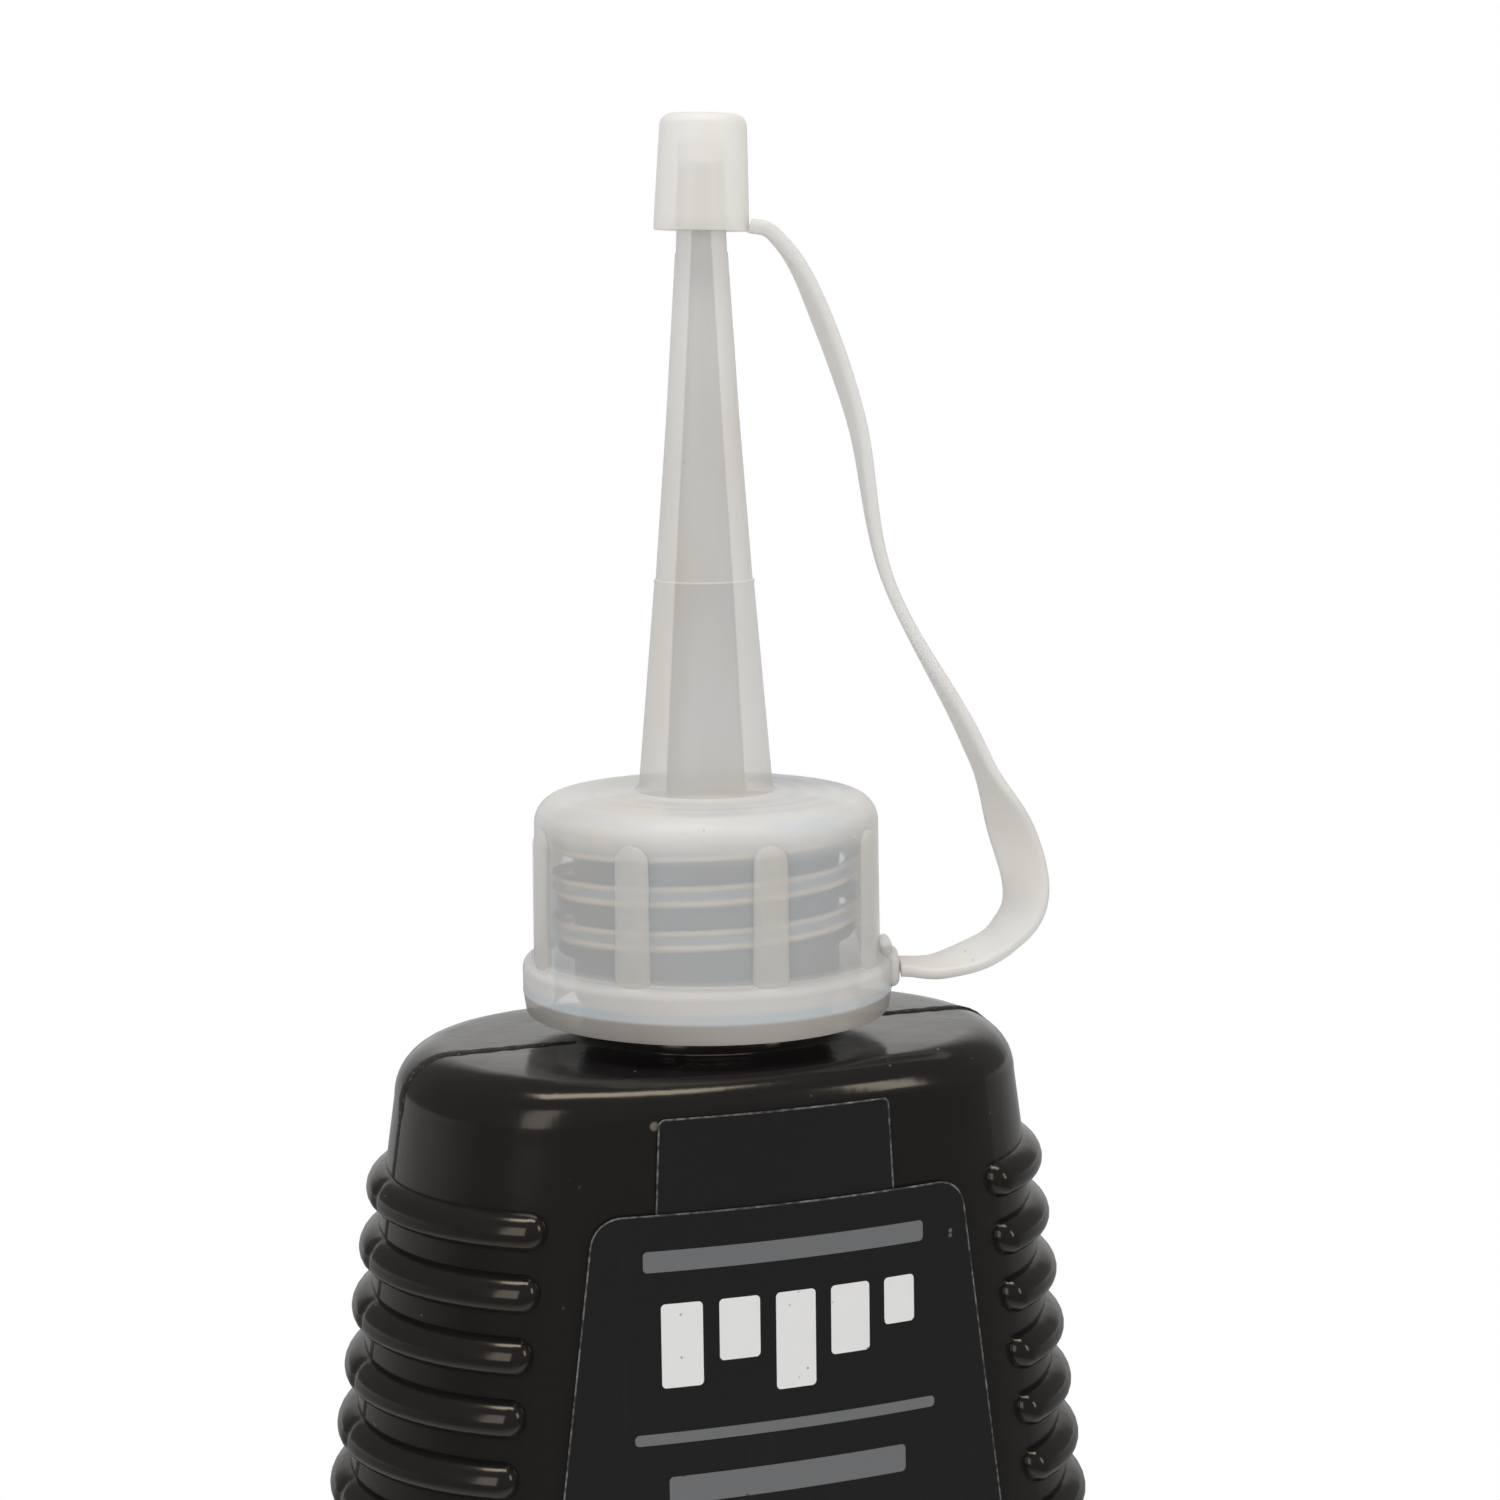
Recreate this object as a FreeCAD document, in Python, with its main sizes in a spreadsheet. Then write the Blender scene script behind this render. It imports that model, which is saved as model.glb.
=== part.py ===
import FreeCAD, Part
import math
import os
import Sketcher

os.makedirs("parts", exist_ok=True)

# Driving sizes in millimetres.  The bottle stands on z = 0, its front faces -Y.
SIZES = {
    # blow-moulded bottle
    "bottle_height": 90.0,
    "half_width": 29.9,
    "shoulder_half_width": 23.5,
    "half_depth": 15.9,
    "depth_taper": 0.7,
    "end_roundness": 0.95,
    "shoulder_radius": 3.6,
    "heel_radius": 3.0,
    "wall": 1.2,
    "push_up_depth": 1.5,
    "push_up_inset": 6.5,
    "neck_radius": 11.0,
    "neck_bore_radius": 8.8,
    # side grip ribs of the bottle
    "grip_first_drop": 10.1,
    "grip_pitch": 4.38,
    "grip_height": 2.85,
    "grip_proud": 1.25,
    "grip_sweep": 124.0,
    "grip_count": 7.0,
    # powder fill
    "fill_level": 52.0,
    "fill_clearance": 0.3,
    # two-ply front label
    "ply_thickness": 0.14,
    "ply_gap": 0.03,
    "label_top_drop": 9.1,
    "label_height": 64.0,
    "label_top_half": 13.9,
    "label_flare": 0.128,
    "label_corner": 2.0,
    "head_top_drop": 2.4,
    "head_half": 9.0,
    "head_shift": -0.6,
    "ply_inset": 0.8,
    # screw closure
    "closure_gap": 1.9,
    "closure_turned": -20.7,
    "skirt_radius": 12.5,
    "skirt_draft": 0.15,
    "thread_clearance": 0.06,
    "flange_radius": 13.6,
    "flange_taper": 0.3,
    "flange_height": 3.9,
    "parting_height": 1.5,
    "deck_height": 15.85,
    "deck_rise": 0.3,
    "deck_thickness": 1.4,
    "deck_edge_radius": 1.0,
    "flange_edge_radius": 0.6,
    "wad_thickness": 0.95,
    "wad_bore_radius": 4.2,
    "seat_gap": 0.05,
    # grip ribs and lug of the closure
    "rib_count": 8.0,
    "rib_width": 2.65,
    "rib_proud": 0.3,
    "rib_top": 13.9,
    "lug_reach": 0.6,
    "lug_width": 4.2,
    "lug_low": 1.5,
    "lug_high": 4.1,
    # nozzle
    "nozzle_base_radius": 4.9,
    "nozzle_ring_radius": 3.6,
    "nozzle_ring_height": 31.5,
    "nozzle_tip_radius": 1.6,
    "nozzle_tip_height": 61.3,
    "ring_step": 0.1,
    "bore_base_radius": 2.95,
    "bore_ring_radius": 2.3,
    "bore_tip_radius": 0.5,
    # tip cap
    "cap_grip": 4.8,
    "cap_over": 3.8,
    "cap_low_radius": 3.5,
    "cap_high_radius": 3.15,
    "cap_top_thickness": 2.1,
    "cap_clearance": 0.05,
    "cap_edge_radius": 0.9,
    # moulded strap between closure and tip cap
    "strap_width": 3.6,
    "strap_thickness": 1.1,
    "strap_root_height": 2.8,
    "strap_cap_rise": 0.7,
    "strap_bend_reach": 23.4,
    "strap_bend_height": 9.4,
    "strap_waist_reach": 13.3,
    "strap_waist_height": 31.5,
    "strap_bend_twist": 78.0,
    "strap_top_twist": 14.0,
    "strap_end_gap": 0.04,
}

doc = FreeCAD.newDocument("LubricantBottle")
sheet = doc.addObject("Spreadsheet::Sheet", "Sizes")
for row_number, (alias, value) in enumerate(SIZES.items(), start=1):
    sheet.set("A%d" % row_number, alias)
    sheet.set("B%d" % row_number, str(value))
    sheet.setAlias("B%d" % row_number, alias)
doc.recompute()


def size(alias):
    """Value of one driving size, read from the sheet."""
    return float(sheet.get(alias))


def bind(text):
    """Expression text with every driving size given its sheet name."""
    out = text
    for alias in sorted(SIZES, key=len, reverse=True):
        out = out.replace("#" + alias, "Sizes." + alias)
    return out


def value_of(text):
    """Number that an expression text gives with the sheet's values."""
    out = text
    for alias in sorted(SIZES, key=len, reverse=True):
        out = out.replace("#" + alias, repr(size(alias)))
    return FreeCAD.Units.Quantity(out.replace(" ", "")).Value


def new_body(label):
    """Empty body whose label names its exported file."""
    body = doc.addObject("PartDesign::Body", label)
    body.Label = label
    return body


def origin_item(body, role):
    """Origin plane or axis of a body by its role name."""
    for item in body.Origin.OriginFeatures:
        if item.Role == role:
            return item
    raise ValueError(role)


def new_sketch(body, name, role, lift="0"):
    """Sketch on an origin plane of the body, lifted along the plane's normal."""
    sketch = body.newObject("Sketcher::SketchObject", name)
    sketch.AttachmentSupport = [(origin_item(body, role), "")]
    sketch.MapMode = "FlatFace"
    sketch.setExpression("AttachmentOffset.Base.z", bind(lift))
    sketch.Visibility = False
    return sketch


def fix_point(sketch, geo, pos, across, up):
    """Tie one sketch point to two expressions, or to an axis where one is zero."""
    if across == "0":
        sketch.addConstraint(Sketcher.Constraint("PointOnObject", geo, pos, -2))
    else:
        index = sketch.addConstraint(
            Sketcher.Constraint("DistanceX", -1, 1, geo, pos, value_of(across))
        )
        sketch.setExpression("Constraints[%d]" % index, bind(across))
    if up == "0":
        sketch.addConstraint(Sketcher.Constraint("PointOnObject", geo, pos, -1))
    else:
        index = sketch.addConstraint(
            Sketcher.Constraint("DistanceY", -1, 1, geo, pos, value_of(up))
        )
        sketch.setExpression("Constraints[%d]" % index, bind(up))


def polygon(sketch, corners):
    """Closed outline of straight lines through corners given as expressions."""
    points = [FreeCAD.Vector(value_of(a), value_of(u), 0) for a, u in corners]
    first = sketch.GeometryCount
    count = len(points)
    for i in range(count):
        sketch.addGeometry(Part.LineSegment(points[i], points[(i + 1) % count]), False)
    for i in range(count):
        follower = first + (i + 1) % count
        sketch.addConstraint(Sketcher.Constraint("Coincident", first + i, 2, follower, 1))
    for i, (across, up) in enumerate(corners):
        fix_point(sketch, first + i, 1, across, up)


def held_value(thing, name, text):
    """Add a number to an object, computed by an expression, and return it."""
    thing.addProperty("App::PropertyFloat", name, "Sizes")
    thing.setExpression(name, bind(text))
    thing.recompute()
    return getattr(thing, name)


def oval(body, name, lift, across, deep):
    """Flat oval of four tangent arcs: half width, half depth, end radius."""
    sketch = new_sketch(body, name, "XY_Plane", lift)
    wide = held_value(sketch, "HalfWidth", across)
    thick = held_value(sketch, "HalfDepth", deep)
    r_end = held_value(sketch, "EndRadius", ".HalfDepth * #end_roundness")
    x_end = held_value(sketch, "EndCentre", ".HalfWidth - .EndRadius")
    spread = ".EndCentre * .EndCentre + .HalfDepth * .HalfDepth - .EndRadius * .EndRadius"
    broad = "(" + spread + ") / (2 * (.HalfDepth - .EndRadius))"
    r_front = held_value(sketch, "FrontRadius", broad)
    reach = ".FrontRadius - .EndRadius"
    corner_x = held_value(sketch, "CornerX", ".FrontRadius * .EndCentre / (" + reach + ")")
    rise = ".EndRadius * (.FrontRadius - .HalfDepth) / (" + reach + ")"
    corner_y = held_value(sketch, "CornerY", rise)
    y_front = r_front - thick
    angle = math.atan2(y_front, x_end)
    up = FreeCAD.Vector(0, 0, 1)

    def arc(cx, cy, radius, start, stop):
        circle = Part.Circle(FreeCAD.Vector(cx, cy, 0), up, radius)
        sketch.addGeometry(Part.ArcOfCircle(circle, start, stop), False)

    # right end, back, left end, front, each turning counter-clockwise
    arc(x_end, 0, r_end, -angle, angle)
    arc(0, -y_front, r_front, angle, math.pi - angle)
    arc(-x_end, 0, r_end, math.pi - angle, math.pi + angle)
    arc(0, y_front, r_front, math.pi + angle, 2 * math.pi - angle)
    for i in range(4):
        sketch.addConstraint(Sketcher.Constraint("Coincident", i, 2, (i + 1) % 4, 1))

    def drive(kind, *items):
        index = sketch.addConstraint(Sketcher.Constraint(kind, *items[:-1]))
        sketch.setExpression("Constraints[%d]" % index, items[-1])

    for i, (sx, sy) in enumerate(((1, 1), (-1, 1), (-1, -1), (1, -1))):
        drive("DistanceX", -1, 1, i, 2, sx * corner_x, "%d * .CornerX" % sx)
        drive("DistanceY", -1, 1, i, 2, sy * corner_y, "%d * .CornerY" % sy)
    for i in range(4):
        if i % 2 == 0:
            drive("Radius", i, r_end, ".EndRadius")
        else:
            drive("Radius", i, r_front, ".FrontRadius")
    return sketch


# Stations of the bottle's outer form: height, half width and half depth.  From 0.55 of
# the height the wall runs straight up to the shoulder, with one station halfway.
MID_WIDTH = "(#half_width - 1)"
STATIONS = [
    ("0", "#half_width - 0.7", "#half_depth - 0.4"),
    ("0.28 * #bottle_height", "#half_width", "#half_depth"),
    ("0.55 * #bottle_height", MID_WIDTH, "#half_depth - 0.1"),
    (
        "0.775 * #bottle_height - 0.5 * #shoulder_radius",
        "(" + MID_WIDTH + " + #shoulder_half_width) / 2",
        "#half_depth - 0.5 * #depth_taper - 0.05",
    ),
    ("#bottle_height", "#shoulder_half_width", "#half_depth - #depth_taper"),
]

# Steps of a rounded end, in shares of its radius: rise, draw at the ends, draw at the front.
EVEN = (("0.5", "0.134", "0.134"), ("0.866", "0.5", "0.5"), ("1", "1", "1"))
PLAIN = (("0.707", "0.293", "0.293"), ("1", "1", "1"))
BEVEL = (("1", "1", "1"),)
SHOULDER = (("0.5", "0.134", "0.02"), ("0.866", "0.5", "0.267"), ("1", "1", "0.667"))


def rounded_end(body, prefix, base, lift, wide, thick, radius, way, steps):
    """Short loft that rounds one end of a stack over, from its end section."""
    sketches = [base]
    for i, (drop, draw, front_draw) in enumerate(steps):
        z = "(%s) + %s * %s * (%s)" % (lift, way, drop, radius)
        across = "(%s) - %s * (%s)" % (wide, draw, radius)
        deep = "(%s) - %s * (%s)" % (thick, front_draw, radius)
        sketches.append(oval(body, "%sSection%d" % (prefix, i), z, across, deep))
    loft = body.newObject("PartDesign::AdditiveLoft", prefix + "Loft")
    loft.Profile = sketches[0]
    loft.Sections = sketches[1:]
    loft.Ruled = True
    doc.recompute()
    return loft


def oval_stack(body, prefix, inset, low, high, heel, shoulder, steps=None):
    """Loft of the bottle's stations, with its heel and shoulder rounded by the steps."""
    sketches = []
    sizes = []
    last = len(STATIONS) - 1
    for i, (lift, across, deep) in enumerate(STATIONS):
        if i == 0:
            lift = "(%s) + (%s)" % (low, heel)
        if i == last:
            lift = "(%s) - (%s)" % (high, shoulder)
        wide = "(%s) - (%s)" % (across, inset)
        thick = "(%s) - (%s)" % (deep, inset)
        sketches.append(oval(body, "%sSection%d" % (prefix, i), lift, wide, thick))
        sizes.append((lift, wide, thick))
    loft = body.newObject("PartDesign::AdditiveLoft", prefix + "Loft")
    loft.Profile = sketches[0]
    loft.Sections = sketches[1:]
    loft.Ruled = True
    doc.recompute()
    if steps is None:
        return loft
    heel_steps, shoulder_steps = steps
    lift, wide, thick = sizes[0]
    base = sketches[0]
    rounded_end(body, prefix + "Heel", base, lift, wide, thick, heel, "-1", heel_steps)
    lift, wide, thick = sizes[last]
    base = sketches[last]
    return rounded_end(
        body, prefix + "Shoulder", base, lift, wide, thick, shoulder, "1", shoulder_steps
    )


def quarter(across, up, radius):
    """Rounded outer corner as two chords, from the side up and over to the end."""
    points = []
    for cosine, sine in (("1", "0"), ("0.707", "0.707"), ("0", "1")):
        x = "(%s) - (%s) + %s * (%s)" % (across, radius, cosine, radius)
        y = "(%s) - (%s) + %s * (%s)" % (up, radius, sine, radius)
        points.append((x, y))
    return points


def revolve(body, name, corners, kind="PartDesign::Revolution"):
    """Turn a closed outline in the XZ plane once round the Z axis."""
    sketch = new_sketch(body, name + "Outline", "XZ_Plane")
    polygon(sketch, corners)
    feature = body.newObject(kind, name)
    feature.Profile = sketch
    feature.ReferenceAxis = (sketch, ["V_Axis"])
    feature.Angle = 360
    doc.recompute()
    return feature


def bottle_side_ribs(body, side, name):
    """Row of grip ribs with bevelled flanks, wrapped round one end of the bottle."""
    sign = "" if side > 0 else "-1 * "
    top = "(#bottle_height - #grip_first_drop)"
    lean = "((" + MID_WIDTH + " - #shoulder_half_width)"
    lean += " / (0.45 * #bottle_height - #shoulder_radius))"
    below = "(#grip_first_drop - #shoulder_radius)"
    wall_x = "(#shoulder_half_width + " + below + " * " + lean + ")"
    half = "(#grip_height / 2)"
    sketch = new_sketch(body, name + "Outline", "XZ_Plane")
    polygon(sketch, [
        (sign + "(" + wall_x + " - 0.6)", top + " - " + half),
        (sign + "(" + wall_x + " + #grip_proud)", top + " - 0.4 * " + half),
        (sign + "(" + wall_x + " + #grip_proud)", top + " + 0.4 * " + half),
        (sign + "(" + wall_x + " - 0.6)", top + " + " + half),
    ])
    centre = "(" + wall_x + " - (#half_depth - 0.3) * #end_roundness)"
    axis = body.newObject("PartDesign::Line", name + "Axis")
    axis.setExpression("Placement.Base.x", bind(sign + centre))
    rib = body.newObject("PartDesign::Revolution", name)
    rib.Profile = sketch
    rib.ReferenceAxis = (axis, [""])
    rib.Midplane = True
    rib.setExpression("Angle", bind("#grip_sweep"))
    doc.recompute()
    run = body.newObject("PartDesign::Line", name + "Run")
    slope = value_of(lean)
    down = FreeCAD.Vector(side * slope, 0, -1)
    run.Placement = FreeCAD.Placement(
        FreeCAD.Vector(0, 0, 0), FreeCAD.Rotation(FreeCAD.Vector(0, 0, 1), down)
    )
    row = body.newObject("PartDesign::LinearPattern", name + "Row")
    row.Originals = [rib]
    row.Direction = (run, [""])
    stretch = math.sqrt(1 + slope * slope)
    row.setExpression("Length", bind("#grip_pitch * (#grip_count - 1) * %r" % stretch))
    row.setExpression("Occurrences", bind("#grip_count"))
    body.Tip = row
    doc.recompute()
    return row


NECK_TOP = "(#bottle_height + #closure_gap + #deck_height - #deck_thickness"
NECK_TOP += " - #wad_thickness - 2 * #seat_gap)"


def make_bottle():
    """Hollow bottle with shoulder, neck, side grip ribs and push-up base."""
    hollow = new_body("bottle_hollow")
    floor = "#wall + #push_up_depth"
    ceiling = "#bottle_height - #wall"
    oval_stack(
        hollow, "Hollow", "#wall", floor, ceiling,
        "#heel_radius - #wall", "#shoulder_radius - #wall", (BEVEL, PLAIN),
    )
    revolve(hollow, "NeckBore", [
        ("0", ceiling + " - 1"),
        ("#neck_bore_radius", ceiling + " - 1"),
        ("#neck_bore_radius", NECK_TOP + " + 1"),
        ("0", NECK_TOP + " + 1"),
    ])

    body = new_body("bottle_body")
    oval_stack(
        body, "Outer", "0", "0", "#bottle_height", "#heel_radius", "#shoulder_radius",
        (EVEN, SHOULDER),
    )
    revolve(body, "Neck", [
        ("0", "#bottle_height - 1"),
        ("#neck_radius", "#bottle_height - 1"),
        ("#neck_radius", NECK_TOP),
        ("0", NECK_TOP),
    ])
    bottle_side_ribs(body, 1, "RightGrip")
    bottle_side_ribs(body, -1, "LeftGrip")
    under = oval(
        body, "PushUpOutline", "0",
        "#half_width - 0.7 - #push_up_inset", "#half_depth - 0.4 - #push_up_inset",
    )
    recess = body.newObject("PartDesign::Pocket", "PushUp")
    recess.Profile = under
    recess.setExpression("Length", bind("#push_up_depth"))
    recess.Reversed = True
    doc.recompute()
    cut = body.newObject("PartDesign::Boolean", "Hollowed")
    cut.Type = "Cut"
    cut.setObjects([hollow])
    body.Tip = cut
    doc.recompute()
    return body


def make_powder():
    """Settled powder filling the lower part of the bottle."""
    body = new_body("graphite_powder")
    inset = "#wall + #fill_clearance"
    low = "#wall + #push_up_depth + #fill_clearance"
    oval_stack(
        body, "Powder", inset, low, "#bottle_height - #wall - #fill_clearance",
        "#heel_radius - #wall", "#shoulder_radius - #wall", (BEVEL, BEVEL),
    )
    sketch = new_sketch(body, "LevelOutline", "XZ_Plane")
    polygon(sketch, [
        ("-1 * #half_width", "#fill_level - 2"),
        ("0", "#fill_level + 2"),
        ("#half_width", "#fill_level - 2"),
        ("#half_width", "#bottle_height + 1"),
        ("-1 * #half_width", "#bottle_height + 1"),
    ])
    level = body.newObject("PartDesign::Pocket", "Level")
    level.Profile = sketch
    level.Type = "ThroughAll"
    level.Midplane = True
    doc.recompute()
    return body


def make_ply(label, near, outline):
    """Thin film following the bottle's front, trimmed to an outline seen from the front."""
    inside = new_body(label + "_inside")
    span = ("0", "#bottle_height", "#heel_radius", "(#head_top_drop - 0.4)")
    oval_stack(inside, label + "In", "-1 * (" + near + ")", *span)
    body = new_body(label)
    far = "-1 * (" + near + " + #ply_thickness)"
    oval_stack(body, label + "Out", far, *span)
    sketch = new_sketch(body, label + "Trim", "XZ_Plane")
    polygon(sketch, outline)
    polygon(sketch, [
        ("-1 * #half_width - 5", "-5"),
        ("#half_width + 5", "-5"),
        ("#half_width + 5", "#bottle_height + 5"),
        ("-1 * #half_width - 5", "#bottle_height + 5"),
    ])
    trim = body.newObject("PartDesign::Pocket", label + "Outline")
    trim.Profile = sketch
    trim.Type = "ThroughAll"
    trim.Midplane = True
    doc.recompute()
    back = new_sketch(body, label + "BackHalf", "XY_Plane", "-5")
    polygon(back, [
        ("-1 * #half_width - 5", "0"),
        ("#half_width + 5", "0"),
        ("#half_width + 5", "#half_depth + 5"),
        ("-1 * #half_width - 5", "#half_depth + 5"),
    ])
    front_only = body.newObject("PartDesign::Pocket", label + "FrontOnly")
    front_only.Profile = back
    front_only.Type = "ThroughAll"
    front_only.Midplane = True
    doc.recompute()
    cut = body.newObject("PartDesign::Boolean", label + "Film")
    cut.Type = "Cut"
    cut.setObjects([inside])
    body.Tip = cut
    doc.recompute()
    return body


def label_outline(inset, head):
    """Trapezoid label, wider at its foot, with cut corners and an optional head."""
    top = "(#bottle_height - #label_top_drop - " + inset + ")"
    foot = "(#bottle_height - #label_top_drop - #label_height + " + inset + ")"
    wide_top = "(#label_top_half - " + inset + ")"
    wide_foot = "(#label_top_half + #label_flare * #label_height - " + inset + ")"
    cut = "#label_corner"
    right = [
        ("(" + wide_foot + " - " + cut + ")", foot),
        (wide_foot, "(" + foot + " + " + cut + ")"),
        (wide_top, "(" + top + " - " + cut + ")"),
        ("(" + wide_top + " - " + cut + ")", top),
    ]
    left = [("-1 * " + a, u) for a, u in reversed(right)]
    if not head:
        return right + left
    peak = "(#bottle_height - #head_top_drop)"
    return right + [
        ("(#head_shift + #head_half)", top),
        ("(#head_shift + #head_half - 0.4)", peak),
        ("(#head_shift - #head_half + 0.4)", peak),
        ("(#head_shift - #head_half)", top),
    ] + left


Z0 = "(#bottle_height + #closure_gap)"
BORE = "(#neck_radius + #thread_clearance)"
DECK_UNDER = "(" + Z0 + " + #deck_height - #deck_thickness)"


def make_wad():
    """Ring-shaped seal wad between the neck rim and the closure's deck."""
    body = new_body("seal_washer")
    low = "(" + NECK_TOP + " + #seat_gap)"
    revolve(body, "Wad", [
        ("#wad_bore_radius", low),
        ("#neck_radius - #thread_clearance", low),
        ("#neck_radius - #thread_clearance", low + " + #wad_thickness"),
        ("#wad_bore_radius", low + " + #wad_thickness"),
    ])
    return body


def make_closure():
    """Screw collar and long tapered nozzle in one moulding."""
    body = new_body("spout_closure")
    lip = "(#skirt_radius - #skirt_draft)"
    deck = "(" + Z0 + " + #deck_height)"
    ring = "(" + Z0 + " + #nozzle_ring_height)"
    tip = "(" + Z0 + " + #nozzle_tip_height)"
    revolve(body, "Shell", [
        (BORE, Z0),
        ("#flange_radius - #flange_taper", Z0),
        ("#flange_radius", Z0 + " + #parting_height"),
        *quarter("#flange_radius", Z0 + " + #flange_height", "#flange_edge_radius"),
        ("#skirt_radius", Z0 + " + #flange_height"),
        *quarter(lip, deck, "#deck_edge_radius"),
        ("#nozzle_base_radius + 0.25", deck + " + #deck_rise"),
        ("#nozzle_base_radius", deck + " + #deck_rise + 0.25"),
        ("#nozzle_ring_radius", ring),
        ("#nozzle_ring_radius - #ring_step", ring + " + #ring_step"),
        ("#nozzle_tip_radius", tip),
        ("#bore_tip_radius", tip),
        ("#bore_ring_radius", ring),
        ("#bore_base_radius", DECK_UNDER),
        (BORE, DECK_UNDER),
    ])
    bar = new_sketch(body, "GripOutline", "YZ_Plane", "#skirt_radius - 0.6")
    side = "(#rib_width / 2)"
    polygon(bar, [
        ("-1 * " + side, Z0 + " + #flange_height - 0.6"),
        (side, Z0 + " + #flange_height - 0.6"),
        (side, Z0 + " + #rib_top - 0.6 * #rib_width"),
        ("0.55 * " + side, Z0 + " + #rib_top"),
        ("-0.55 * " + side, Z0 + " + #rib_top"),
        ("-1 * " + side, Z0 + " + #rib_top - 0.6 * #rib_width"),
    ])
    grip = body.newObject("PartDesign::Pad", "Grip")
    grip.Profile = bar
    grip.setExpression("Length", bind("0.6 + #rib_proud"))
    doc.recompute()
    ring_of_grips = body.newObject("PartDesign::PolarPattern", "Grips")
    ring_of_grips.Originals = [grip]
    ring_of_grips.Axis = (origin_item(body, "Z_Axis"), [""])
    ring_of_grips.Angle = 360
    ring_of_grips.setExpression("Occurrences", bind("#rib_count"))
    body.Tip = ring_of_grips
    doc.recompute()
    foot = new_sketch(body, "LugOutline", "XY_Plane", Z0 + " + #lug_low")
    half = "(#lug_width / 2)"
    lug_angle = -180.0 / size("rib_count")
    reach = "(#flange_radius + #lug_reach)"
    turn = math.radians(lug_angle)
    c, s = math.cos(turn), math.sin(turn)

    def spun(across, along):
        return (
            "(%s) * (%r) - (%s) * (%r)" % (across, c, along, s),
            "(%s) * (%r) + (%s) * (%r)" % (across, s, along, c),
        )

    polygon(foot, [
        spun("#flange_radius - 1", "-1 * " + half),
        spun(reach, "-0.8 * " + half),
        spun(reach, "0.8 * " + half),
        spun("#flange_radius - 1", half),
    ])
    lug = body.newObject("PartDesign::Pad", "Lug")
    lug.Profile = foot
    lug.setExpression("Length", bind("#lug_high - #lug_low"))
    doc.recompute()
    turned = FreeCAD.Rotation(FreeCAD.Vector(0, 0, 1), size("closure_turned") - lug_angle)
    body.Placement = FreeCAD.Placement(FreeCAD.Vector(0, 0, 0), turned)
    doc.recompute()
    return body


def make_tip_cap():
    """Small push-on cap over the nozzle's end."""
    body = new_body("tip_cap")
    low = "(" + Z0 + " + #nozzle_tip_height - #cap_grip)"
    high = "(" + Z0 + " + #nozzle_tip_height + #cap_over)"
    taper = "((#nozzle_ring_radius - #ring_step - #nozzle_tip_radius)"
    taper += " / (#nozzle_tip_height - #nozzle_ring_height - #ring_step))"
    mouth = "(#nozzle_tip_radius + #cap_grip * " + taper + " + #cap_clearance)"
    ceiling = "(" + high + " - #cap_top_thickness)"
    revolve(body, "Shell", [
        (mouth, low),
        ("#cap_low_radius", low),
        *quarter("#cap_high_radius", high, "#cap_edge_radius"),
        ("0", high),
        ("0", ceiling),
        ("#nozzle_tip_radius + #cap_clearance", ceiling),
        ("#nozzle_tip_radius + #cap_clearance", Z0 + " + #nozzle_tip_height"),
    ])
    body.Placement = FreeCAD.Placement(
        FreeCAD.Vector(0, 0, 0),
        FreeCAD.Rotation(FreeCAD.Vector(0, 0, 1), size("closure_turned")),
    )
    doc.recompute()
    return body


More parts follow.
